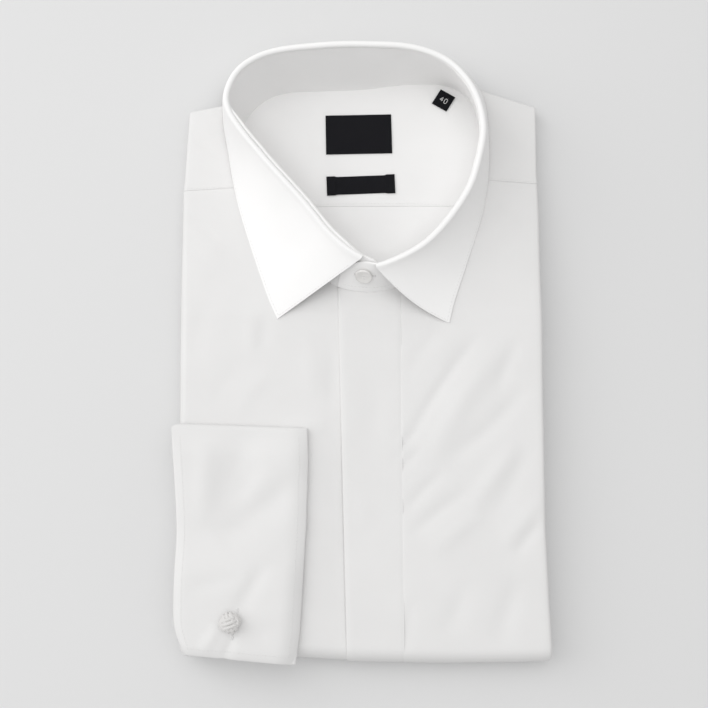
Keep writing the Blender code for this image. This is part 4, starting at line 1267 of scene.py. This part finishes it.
def build_leaf(finish, thread):
    """The fall: sewn above the stand, rolled over and down to its stitched free edge."""
    stations = steps(0.0, len(LEAF_EDGE) - 1.0, 0.085, near=LEAF_ENDS, far=LEAF_ENDS)
    points = np.array([[tuple(p) for p in leaf_line(t)] for t in stations])
    points = relieve(points, upward_normals(points, *LEAF_SHOWN_CELL), LEAF_CREASES, unevenness=0.14)
    piece = cloth_piece("leaf_cloth", points)
    give_wall(piece, COLLAR_PLY, 0.0, edge=COLLAR_RIM)
    wear(piece, "collar_leaf", finish)
    normals = upward_normals(points, *LEAF_SHOWN_CELL)
    low, high, first = 5, len(stations) - 6, 14
    edge = LEAF_SECTION.index(("edge", LEAF_SEAM_IN))
    cells = [(low, j) for j in range(first, edge)]
    cells += [(i, edge) for i in range(low, high)]
    cells += [(high, j) for j in range(edge, first, -1)]
    bm = bmesh.new()
    add_seam(bm, grid_line(points, normals, cells, COLLAR_PLY / 2))
    thread_piece("leaf_stitches", bm, "collar_leaf", thread)


# Sleeve and cuff
def cuff_outline(share, across):
    """Place in plan on the cuff: share from the folded edge to the open edge."""
    place = share * (len(CUFF_ROWS) - 1)
    return cuff_left(place).lerp(cuff_right(place), across)


cuff_left = curve_through([(row[0], row[1], 0) for row in CUFF_ROWS])
cuff_right = curve_through([(row[2], row[3], 0) for row in CUFF_ROWS])


def edge_fall(distance, reach_in, most):
    """Share of the fall at a distance from an edge."""
    return most * max(0.0, 1 - distance / reach_in) ** CUFF_FALL_POWER


def cuff_point(wall, share, across):
    """Middle of the cuff's wall: wall 0 is the under side, 1 the upper side."""
    lift = CUFF_LIFT * smooth((share - CUFF_LIFT_START) / (CUFF_LIFT_END - CUFF_LIFT_START))
    spread = blend(CUFF_SPREAD, CUFF_KISS, smooth(share / CUFF_SPREAD_END))
    left, right = cuff_outline(share, 0.0), cuff_outline(share, 1.0)
    width = right.x - left.x
    fall = edge_fall((1 - across) * width, *CUFF_FALL_RIGHT)
    fall += edge_fall(across * width, *CUFF_FALL_LEFT) * smooth(share / CUFF_LEFT_START)
    fall = min(1.0, fall + edge_fall((1 - share) * CUFF_LENGTH, *CUFF_FALL_END))
    puff = CUFF_PUFF * smooth(share / CUFF_PUFF_START)
    point = left.lerp(right, across)
    point.x += (CUFF_UNDER_X - left.x) * (1 - wall) * (1 - across)
    point.z = CUFF_LOWER_Z + lift * (1 - CUFF_LIFT_LOST * fall)
    point.z += wall * blend(spread + puff, CUFF_KISS, fall)
    return point


def cuff_middle(row, across):
    """Middle of both plies; row is (wall, share), a wall between 0 and 1 being the fold."""
    wall, share = row
    radius = CUFF_SPREAD / 2
    if 0 < wall < 1:
        bottom, top = cuff_point(0, 0.0, across), cuff_point(1, 0.0, across)
        point = bottom.lerp(top, (1 - math.cos(wall * math.pi)) / 2)
        point.y += radius * math.sin(wall * math.pi) - radius
        return point
    point = cuff_point(wall, share, across)
    point.y -= radius * (1 - share)
    return point


CUFF_CREASES = (
    ((-28.9, -70.9), (-74.9, -107.1), 1.5, 7.5, 1.6),
    ((-26.5, -91.8), (-53.9, -118.0), -1.0, 9.0, -0.8),
    ((-82.5, -49.8), (-84.9, -101.7), 1.0, 6.0, -1.1),
    ((-58.0, -46.5), (-69.6, -96.2), -1.5, 10.0, 2.0),
    ((-51.1, -64.3), (-65.3, -85.3), 0.5, 4.0, 0.5),
    ((-92.0, -133.1), (-60.3, -127.7), 0.5, 5.0, 0.9),
    ((-63.9, -147.1), (-46.2, -119.1), 1.0, 4.6, 1.3),
    ((-73.1, -153.5), (-82.7, -167.3), 0.3, 3.2, -1.2),
    ((-64.3, -155.6), (-71.2, -171.6), 0.3, 2.4, 1.2),
    ((-61.1, -153.5), (-46.8, -161.0), 0.5, 3.0, 0.6),
    ((-56.8, -146.0), (-34.9, -150.3), 0.5, 5.0, -0.5),
)


def build_cuff(finish, thread):
    """Turned-back cuff pressed flat: every wall has two plies, joined at the turned right edge."""
    shares = steps(0.0, 1.0, 0.016, far=(0.0, 0.003, 0.006, 0.01))
    rows = [(0, share) for share in reversed(shares)]
    rows += [(k / 8, 0.0) for k in range(1, 8)]
    rows += [(1, share) for share in shares]
    flat = steps(0.0, 1.0, 0.03, near=(0.0, 0.005, 0.01, 0.016), far=(0.0, 0.005, 0.012))
    middle = grid_points(flat, rows, lambda across, row: cuff_middle(row, across))
    normals = grid_normals(middle)
    if normals[:, CUFF_SHOWN:, 2].mean() < 0:
        normals = -normals
    step = CUFF_PLY_STEP / 2
    inner = middle - normals * step
    outer = middle + normals * step
    side = middle[-1] - middle[-2]
    side = side / np.linalg.norm(side, axis=1, keepdims=True)
    turned = [middle[-1] - normals[-1] * step * math.cos(a) + side * step * math.sin(a)
              for a in (math.pi * k / 6 for k in range(1, 6))]
    points = np.concatenate([inner, np.array(turned), outer[::-1]])
    normals = grid_normals(points)
    if normals[CUFF_SHOWN:, CUFF_SHOWN:, 2].mean() < 0:
        normals = -normals
    height = sum(crease(points, *row) for row in CUFF_CREASES)
    height = height + 0.2 * soft_noise(points, 30.0, 5)
    upper = (np.arange(len(rows)) > len(rows) // 2)[None, :]
    sign = np.where(normals[:, :, 2] > 0, 1.0, -1.0)
    points = points + np.where(upper, height * sign, 0.0)[:, :, None] * normals
    turned_in = grid_normals(points)[CUFF_SHOWN:, CUFF_SHOWN:, 2].mean() < 0
    piece = cloth_piece("cuff_cloth", points, flip=turned_in)
    give_wall(piece, CUFF_PLY, 0.0, edge=CUFF_RIM)
    wear(piece, "cuff_right", finish)
    bm = bmesh.new()
    top = len(turned) + len(flat)
    normals = normals if normals[top + 10, CUFF_SHOWN, 2] > 0 else -normals
    first, last = len(rows) - len(shares) + 1, len(rows) - 5
    one, other = top + CUFF_SEAM_COLUMN, len(points) - 1 - CUFF_SEAM_COLUMN
    cells = [(one, j) for j in range(first, last)]
    cells += [(i, last) for i in range(one, other)]
    cells += [(other, j) for j in range(last, first, -1)]
    add_seam(bm, grid_line(points, normals, cells, CUFF_PLY / 2 + CUFF_SEAM_LIFT))
    hole = []
    for k in range(9):
        x, y = (blend(a, b, k / 8) for a, b in zip(*CUFF_BUTTONHOLE))
        away = np.hypot(points[top:, first:, 0] - x, points[top:, first:, 1] - y)
        i, j = np.unravel_index(away.argmin(), away.shape)
        facing = Vector(normals[top + i, first + j])
        z = points[top + i, first + j, 2] + CUFF_PLY / 2
        hole.append((Vector((x, y, z)), facing))
    add_buttonhole(bm, hole)
    thread_piece("cuff_stitches", bm, "cuff_right", thread)


def build_sleeve(finish):
    """Flattened sleeve wrapped round the left edge up to the cuff: a tube pressed to two plies."""
    degrees = [SLEEVE_END * (1 - k / 22) for k in range(23)]
    step = SLEEVE_PLY_STEP
    centre = GAP + SLEEVE_CLEAR + step
    head_y, foot_y = SLEEVE_TOP_Y - SLEEVE_HEM_IN, SLEEVE_BOTTOM_Y + SLEEVE_HEM_IN
    rows = [("outer", y) for y in steps(head_y, foot_y, 2.5)]
    rows += [("foot", k / 4) for k in range(1, 4)]
    rows += [("inner", y) for y in steps(foot_y, head_y, 6.0)]
    rows += [("head", k / 4) for k in range(1, 4)]
    rows += [rows[0]]

    def place(angle, row):
        kind, value = row
        level, y = {"outer": (step, value), "inner": (-step, value)}.get(kind, (0.0, 0.0))
        if kind in ("foot", "head"):
            sign = 1 if kind == "foot" else -1
            level = sign * step * math.cos(math.pi * value)
            edge = foot_y if kind == "foot" else head_y
            y = edge - sign * step * math.sin(math.pi * value)
        out, rise = rolled(half(y), angle, -(centre + level))
        return Vector((left_x(y) - out, y + bow(left_x(y), y), 3 * half(y) + rise))

    points = grid_points(degrees, rows, place)
    piece = cloth_piece("sleeve_cloth", points)
    bm = bmesh.new()
    bm.from_mesh(piece.data)
    bmesh.ops.recalc_face_normals(bm, faces=bm.faces)
    bm.to_mesh(piece.data)
    bm.free()
    give_wall(piece, POPLIN, -1.0)
    wear(piece, "sleeve_right", finish)


# Cuff link
def closed_tube(bm, path, radius, sides, count):
    """A closed cord along path(t), t from 0 to 1."""
    grid = bmesh.ops.create_grid(bm, x_segments=sides, y_segments=count, size=0.5)["verts"]
    around = []
    for k in range(count + 1):
        t = (k % count) / count
        centre = path(t)
        run = (path(t + 0.5 / count) - path(t - 0.5 / count)).normalized()
        around.append((centre, run))
    for vert in grid:
        i, j = round((vert.co.x + 0.5) * sides), round((vert.co.y + 0.5) * count)
        centre, run = around[j]
        out = (centre - run * centre.dot(run)).normalized()
        beside = run.cross(out)
        angle = 2 * math.pi * (i % sides) / sides
        vert.co = centre + (out * math.cos(angle) + beside * math.sin(angle)) * radius
    bmesh.ops.remove_doubles(bm, verts=grid, dist=0.001)


def knot_loops(radius):
    """Three crossing sets of three loops, as a fist knot winds them."""
    cord = radius * KNOT_CORD
    low = radius * KNOT_LOW
    loops = []
    for axis in range(3):
        for strand in (-1, 0, 1):
            shift = strand * 2 * cord
            tall = radius - cord - KNOT_DROP * radius * abs(strand)

            def path(t, axis=axis, shift=shift, tall=tall):
                angle = 2 * math.pi * t
                a, b = tall * math.cos(angle), low * math.sin(angle)
                return Vector(((a, b, shift), (shift, a, b), (b, shift, a))[axis])

            loops.append(path)
    return loops, cord


def build_link(finish):
    """Silk-knot link: a wound knot on each side of the cuff and the cord between them."""
    share = (CUFF_ROWS[0][1] - LINK_Y) / CUFF_LENGTH
    under_z = cuff_point(0, share, LINK_ACROSS).z - CAD_CUFF / 2 - GAP
    over_z = cuff_point(1, share, LINK_ACROSS).z + CAD_CUFF / 2
    bm = bmesh.new()
    for radius, height, base, sign in (
        (KNOT_RADIUS, KNOT_HEIGHT, over_z, 1),
        (UNDER_KNOT_RADIUS, UNDER_KNOT_THICK, under_z, -1),
    ):
        knot = bmesh.new()
        loops, cord = knot_loops(radius)
        for path in loops:
            closed_tube(knot, path, cord, CORD_SIDES, CORD_STEPS)
        bmesh.ops.create_icosphere(knot, subdivisions=3, radius=radius * KNOT_CORE)
        squash = height / (2 * radius)
        place = Matrix.Translation((LINK_X - ORIGIN_X, LINK_Y - ORIGIN_Y, base + sign * height / 2))
        turn = Matrix.Rotation(math.radians(LINK_TURN), 4, "Z")
        place = place @ turn @ Matrix.Diagonal((1, 1, squash, 1))
        bmesh.ops.transform(knot, matrix=Matrix.Scale(MM, 4) @ place, verts=knot.verts)
        bmesh.ops.recalc_face_normals(knot, faces=knot.faces)
        mesh = bpy.data.meshes.new("knot")
        knot.to_mesh(mesh)
        knot.free()
        bm.from_mesh(mesh)
        bpy.data.meshes.remove(mesh)
    length = over_z - under_z + 2.0
    for side in (-LINK_CORD, LINK_CORD):
        middle = Vector((LINK_X - ORIGIN_X + side, LINK_Y - ORIGIN_Y, (over_z + under_z) / 2))
        bmesh.ops.create_cone(bm, cap_ends=True, segments=12, radius1=LINK_CORD * MM,
                              radius2=LINK_CORD * MM, depth=length * MM,
                              matrix=Matrix.Translation(middle * MM))
    wear(mesh_object("silk_knot_link", bm), "cuff_link", finish)


# Labels
def build_labels(finish, thread):
    """Woven labels sewn flat on the inner yoke, their ends turned under."""
    for name, (centre_x, centre_y, width, length, turn, tab) in LABELS.items():
        angle = math.radians(turn)

        def place(a, b):
            double = smooth((abs(a) - width / 2 + tab) / TAB_FADE) if tab else 0.0
            b *= blend(1.0, TAB_WIDER, double)
            x = centre_x + a * math.cos(angle) - b * math.sin(angle)
            y = centre_y + a * math.sin(angle) + b * math.cos(angle)
            return floor_point(x, y, LABEL_LIFT + LABEL_PLY + TAB_THICK * double)

        columns = steps(-width / 2, width / 2, 0.6, near=LABEL_ENDS, far=LABEL_ENDS)
        rows = steps(-length / 2, length / 2, 1.2, near=LABEL_ENDS, far=LABEL_ENDS)
        points = grid_points(columns, rows, place)
        points[:, :, 2] += 0.18 * soft_noise(points, 9.0, 7)
        piece = cloth_piece(name + "_weave", points)
        give_wall(piece, LABEL_PLY, -1.0, edge=LABEL_RIM)
        wear(piece, name, finish)
        if name == "label_size":
            bm = bmesh.new()
            for start, stop in NUMBER_STROKES:
                a, b = place(*start), place(*stop)
                centre = (a + b) / 2 + Vector((0, 0, NUMBER_LIFT))
                size = ((b - a).length + NUMBER_ENDS, NUMBER_THREAD)
                add_stitch(bm, centre, b - a, Vector((0, 0, 1)), size)
            thread_piece("size_number", bm, name, thread)


# Collar button
def build_button(finish, thread):
    """Button on the stand at the centre front, with two rows of thread across its middle."""
    bm = bmesh.new()
    verts = [bm.verts.new((BUTTON_RADIUS * r, 0, BUTTON_THICK * h)) for r, h in BUTTON_PROFILE]
    for a, b in zip(verts, verts[1:]):
        bm.edges.new((a, b))
    bmesh.ops.spin(bm, geom=bm.verts[:] + bm.edges[:], axis=(0, 0, 1), cent=(0, 0, 0),
                   angle=2 * math.pi, steps=48, use_merge=True)
    bmesh.ops.remove_doubles(bm, verts=bm.verts, dist=WELD)
    bmesh.ops.recalc_face_normals(bm, faces=bm.faces)
    seat, facing = stand_face(RING + BUTTON_STATION, BUTTON_UP)
    seat = seat + facing * (GAP + (CAD_STAND - STAND_PLY) / 2)
    seat -= Vector((ORIGIN_X, ORIGIN_Y, 0))
    place = Matrix.Translation(seat) @ facing.to_track_quat("Z", "Y").to_matrix().to_4x4()
    bmesh.ops.transform(bm, matrix=Matrix.Scale(MM, 4) @ place, verts=bm.verts)
    piece = mesh_object("pearl_button", bm)
    wear(piece, "collar_button", finish)
    bm = bmesh.new()
    across = facing.cross(Vector((0, 0, 1))).normalized()
    middle = seat + facing * BUTTON_THICK * BUTTON_MIDDLE + Vector((ORIGIN_X, ORIGIN_Y, 0))
    for row in BUTTON_THREAD_ROWS:
        for strand in BUTTON_STRANDS:
            centre = middle + facing.cross(across) * (row + strand)
            add_stitch(bm, centre, across, facing, BUTTON_THREAD)
    thread_piece("button_thread", bm, "collar_button", thread)


# Hidden layers' edges: name, level and inset in the gap between the slabs, seed of their wander
LAYERS = (
    ("inner_layer_upper", 0.42, 2.1, 0.0),
    ("inner_layer_middle", 0.02, 1.7, 2.0),
    ("inner_layer_lower", -0.4, 2.0, 4.0),
)

# Their ply, the fold's radius as a share of the slab's and a rest, their wander and their depth
INNER_PLY = 0.3
INNER_FOLD = 0.12
INNER_FOLD_LEAST = 0.1
INNER_WANDER = 0.5
INNER_WAVE = 0.03
INNER_DEEP = 10.0
INNER_LEAST = 0.2


def rim_line():
    """Flat part's outline from the hem end up the left side, round the back and down the right."""
    line = [(left_x(y), y, 180.0) for y in steps(TURN_Y + 2, 94.0, 4.0)]
    table = yoke_edge()
    for place in steps(0.0, len(table) - 1.0, 0.3):
        x, y, heading = between(table, place)
        line.append((x, y, heading))
    line += [(right_x(y), y, 0.0) for y in steps(98.0, TURN_Y + 2, 4.0)]
    return line


def build_inner_layers(finish):
    """Folded edges of the layers between the two slabs, seen in the groove round the stack."""
    outline = rim_line()
    corners = [(x(SHOULDER_Y), north_y(x(SHOULDER_Y))) for x in (left_x, right_x)]
    for name, level, inset, seed in LAYERS:
        rows = [("top", d) for d in (INNER_DEEP, 5.0, 2.5, 1.2, 0.5)]
        rows += [("nose", k / 6) for k in range(7)]
        rows += [("foot", d) for d in (0.5, 1.2, 2.5, 5.0, INNER_DEEP)]

        def place(edge, row):
            x, y, heading = edge
            kind, value = row
            radius = INNER_FOLD * half(y) + INNER_FOLD_LEAST
            wander = INNER_WANDER * noise.noise(Vector((x * INNER_WAVE, y * INNER_WAVE, seed)))
            tip = reach(half(y)) - inset + wander - radius
            corner = min(math.hypot(x - a, y - b) for a, b in corners)
            deepest = INNER_LEAST - min(INNER_DEEP, max(0.0, corner - 1.0))
            out, rise = max(tip - value, deepest), radius
            if kind == "nose":
                out = max(tip, INNER_LEAST) + radius * math.sin(math.pi * value)
                rise = radius * math.cos(math.pi * value)
            if kind == "foot":
                rise = -radius
            angle = math.radians(heading)
            z = 2 * half(y) + level * half(y) + rise
            return Vector((x + math.cos(angle) * out, y + math.sin(angle) * out, z))

        points = np.array([[tuple(place(edge, row)) for row in rows] for edge in outline])
        piece = cloth_piece(name, points)
        give_wall(piece, INNER_PLY, 0.0)
        wear(piece, "folded_layers", finish)


# Finishes: metres at which a wave of scale 1 repeats, scales of slubs and tones, tone in the shade
WAVE_REPEAT = 0.314
SLUB_SCALE = 900.0
TONE_SCALE = 28.0
SHADE = 0.975


def new_finish(name, roughness):
    """A new material with its nodes, its links and its main shader."""
    mat = bpy.data.materials.new(name)
    mat.use_nodes = True
    shader = mat.node_tree.nodes["Principled BSDF"]
    shader.inputs["Roughness"].default_value = roughness
    return mat, mat.node_tree.nodes, mat.node_tree.links, shader


def add_node(nodes, kind, **inputs):
    """A new node with values at its named inputs."""
    node = nodes.new(kind)
    for name, value in inputs.items():
        node.inputs[name].default_value = value
    return node


def joined(nodes, links, operation, first, second):
    """Two patterns joined by arithmetic."""
    node = nodes.new("ShaderNodeMath")
    node.operation = operation
    links.new(first, node.inputs[0])
    links.new(second, node.inputs[1])
    return node.outputs[0]


def add_tones(nodes, links, shader, pattern, span, low, high):
    """Colour the finish by a pattern: one tone up to the span's start, the other from its end."""
    ramp = nodes.new("ShaderNodeValToRGB")
    for element, place, colour in zip(ramp.color_ramp.elements, span, (low, high)):
        element.position = place
        element.color = (*colour, 1)
    links.new(pattern, ramp.inputs["Fac"])
    links.new(ramp.outputs["Color"], shader.inputs["Base Color"])


def add_relief(nodes, links, shader, pattern, strength, depth):
    """Give the finish a fine relief by a pattern."""
    bump = add_node(nodes, "ShaderNodeBump", Strength=strength, Distance=depth)
    links.new(pattern, bump.inputs["Height"])
    links.new(bump.outputs["Normal"], shader.inputs["Normal"])


def cloth_finish(name, colour, roughness, sheen, pitch, weave_depth, gloss=0.25):
    """Plain-woven cotton: fine weave, faint slubs and a soft unevenness of tone."""
    mat, nodes, links, shader = new_finish(name, roughness)
    shader.inputs["Sheen Weight"].default_value = sheen
    shader.inputs["Sheen Roughness"].default_value = 0.5
    shader.inputs["Specular IOR Level"].default_value = gloss
    uv = nodes.new("ShaderNodeUVMap")
    uv.uv_map = "cloth"
    place = nodes.new("ShaderNodeTexCoord")
    threads = []
    for direction in ("X", "Y"):
        wave = add_node(nodes, "ShaderNodeTexWave", Scale=WAVE_REPEAT / pitch)
        wave.wave_type = "BANDS"
        wave.bands_direction = direction
        links.new(uv.outputs["UV"], wave.inputs["Vector"])
        threads.append(wave.outputs["Fac"])
    weave = joined(nodes, links, "MULTIPLY", *threads)
    slub = add_node(nodes, "ShaderNodeTexNoise", Scale=SLUB_SCALE, Detail=2.0)
    links.new(place.outputs["Object"], slub.inputs["Vector"])
    surface = joined(nodes, links, "ADD", weave, slub.outputs["Fac"])
    add_relief(nodes, links, shader, surface, 0.5, weave_depth)
    tone = add_node(nodes, "ShaderNodeTexNoise", Scale=TONE_SCALE, Detail=3.0)
    links.new(place.outputs["Object"], tone.inputs["Vector"])
    shaded = [part * SHADE for part in colour]
    add_tones(nodes, links, shader, tone.outputs["Fac"], (0.3, 0.7), shaded, colour)
    return mat


def thread_finish(name, low, high):
    """Twisted thread: fine streaks and a soft sheen."""
    mat, nodes, links, shader = new_finish(name, 0.6)
    shader.inputs["Sheen Weight"].default_value = 0.1
    shader.inputs["Specular IOR Level"].default_value = 0.25
    place = nodes.new("ShaderNodeTexCoord")
    twist = add_node(nodes, "ShaderNodeTexWave", Scale=420.0, Distortion=2.0)
    twist.bands_direction = "DIAGONAL"
    links.new(place.outputs["Object"], twist.inputs["Vector"])
    add_tones(nodes, links, shader, twist.outputs["Fac"], (0.0, 1.0), low, high)
    add_relief(nodes, links, shader, twist.outputs["Fac"], 0.4, 0.00004)
    return mat


def pearl_finish():
    """Pearl white with faint clouds."""
    mat, nodes, links, shader = new_finish("pearl", 0.35)
    place = nodes.new("ShaderNodeTexCoord")
    cloud = add_node(nodes, "ShaderNodeTexNoise", Scale=320.0)
    links.new(place.outputs["Object"], cloud.inputs["Vector"])
    low, high = (0.66, 0.65, 0.64), (0.8, 0.79, 0.77)
    add_tones(nodes, links, shader, cloud.outputs["Fac"], (0.0, 1.0), low, high)
    return mat


# Stage: each soft box's place, size and power
SOFT_BOXES = (
    ("overhead_box", (-0.1, 0.1, 1.6), 1.6, 11.0),
    ("left_box", (-1.55, 0.6, 1.0), 1.9, 14.6),
)
ROOM_LIGHT = 0.6
FLOOR_SIZE = 3.0
FLOOR_BELOW = 0.0004
FLOOR_TONE = 0.69

# Camera: lens and sensor in millimetres, place in metres, tilt in degrees
CAMERA_LENS = 60.763
CAMERA_SENSOR = 36.0
CAMERA_PLACE = (-0.0039, -0.09748, 0.6922)
CAMERA_TILT = 8


def build_stage():
    """Pale floor, soft light from the left and the camera."""
    bm = bmesh.new()
    bmesh.ops.create_grid(bm, x_segments=1, y_segments=1, size=FLOOR_SIZE)
    bmesh.ops.translate(bm, verts=bm.verts, vec=(0, 0, -FLOOR_BELOW))
    floor = mesh_object("floor", bm)
    mat, _, _, shader = new_finish("pale_floor", 0.9)
    shader.inputs["Base Color"].default_value = (FLOOR_TONE, FLOOR_TONE, FLOOR_TONE, 1)
    floor.data.materials.append(mat)
    world = bpy.data.worlds.new("soft_room")
    world.use_nodes = True
    light = world.node_tree.nodes["Background"]
    light.inputs["Color"].default_value = (1, 1, 1, 1)
    light.inputs["Strength"].default_value = ROOM_LIGHT
    bpy.context.scene.world = world
    for name, place, size, power in SOFT_BOXES:
        lamp = bpy.data.lights.new(name, "AREA")
        lamp.shape = "SQUARE"
        lamp.size = size
        lamp.energy = power
        box = bpy.data.objects.new(name, lamp)
        box.location = place
        box.rotation_euler = Vector(place).to_track_quat("Z", "Y").to_euler()
        bpy.context.scene.collection.objects.link(box)
    lens = bpy.data.cameras.new("camera")
    lens.lens = CAMERA_LENS
    lens.sensor_width = CAMERA_SENSOR
    camera = bpy.data.objects.new("camera", lens)
    camera.location = CAMERA_PLACE
    camera.rotation_euler = (math.radians(CAMERA_TILT), 0, 0)
    bpy.context.scene.collection.objects.link(camera)
    bpy.context.scene.camera = camera
    bpy.context.scene.view_settings.view_transform = "Standard"


def main():
    """Stage and finishes, then every piece."""
    build_stage()
    poplin = cloth_finish("white_poplin", (0.75, 0.745, 0.74), 0.8, 0.1, 0.00032, 0.00004)
    # Collar: a brighter copy of the body's poplin, painted light for the collar's lit look
    painted_light_collar = cloth_finish("painted_light_collar_poplin", (0.89, 0.885, 0.88), 0.75, 0.1, 0.00032, 0.00003)
    # Neck floor: a brighter copy of the body's poplin, painted light against the shade in the neck well
    painted_light_floor = cloth_finish("painted_light_floor_poplin", (0.82, 0.815, 0.81), 0.8, 0.1, 0.00032, 0.00004)
    # Layers in the groove round the stack: a darker copy of the body's poplin, painted shade
    shaded = cloth_finish("painted_shade_groove_poplin", (0.72, 0.715, 0.71), 0.85, 0.1, 0.00032, 0.00004)
    black = cloth_finish("black_satin", (0.006, 0.006, 0.008), 0.7, 0.0, 0.0003, 0.00004, 0.12)
    silk = thread_finish("silk_cord", (0.62, 0.61, 0.6), (0.7, 0.69, 0.68))
    thread = thread_finish("sewing_thread", (0.7, 0.695, 0.69), (0.8, 0.795, 0.79))
    build_front("front_right_cloth", "front_right", lambda x: left_neck_y(x) + TUCK_UP, left_x, placket_x,
                -1, FRONT_RIGHT_CREASES, poplin)
    build_front("front_left_cloth", "front_left", lambda x: right_neck_y(x) + TUCK_UP, right_x,
                placket_right_x, 1, FRONT_LEFT_CREASES, poplin)
    build_placket(poplin, thread)
    build_yoke(poplin, thread)
    build_neck_floor(painted_light_floor, thread)
    build_inner_layers(shaded)
    build_stand(painted_light_collar, thread)
    build_leaf(painted_light_collar, thread)
    build_sleeve(poplin)
    build_cuff(poplin, thread)
    build_link(silk)
    build_labels(black, thread)
    build_button(pearl_finish(), thread)


main()
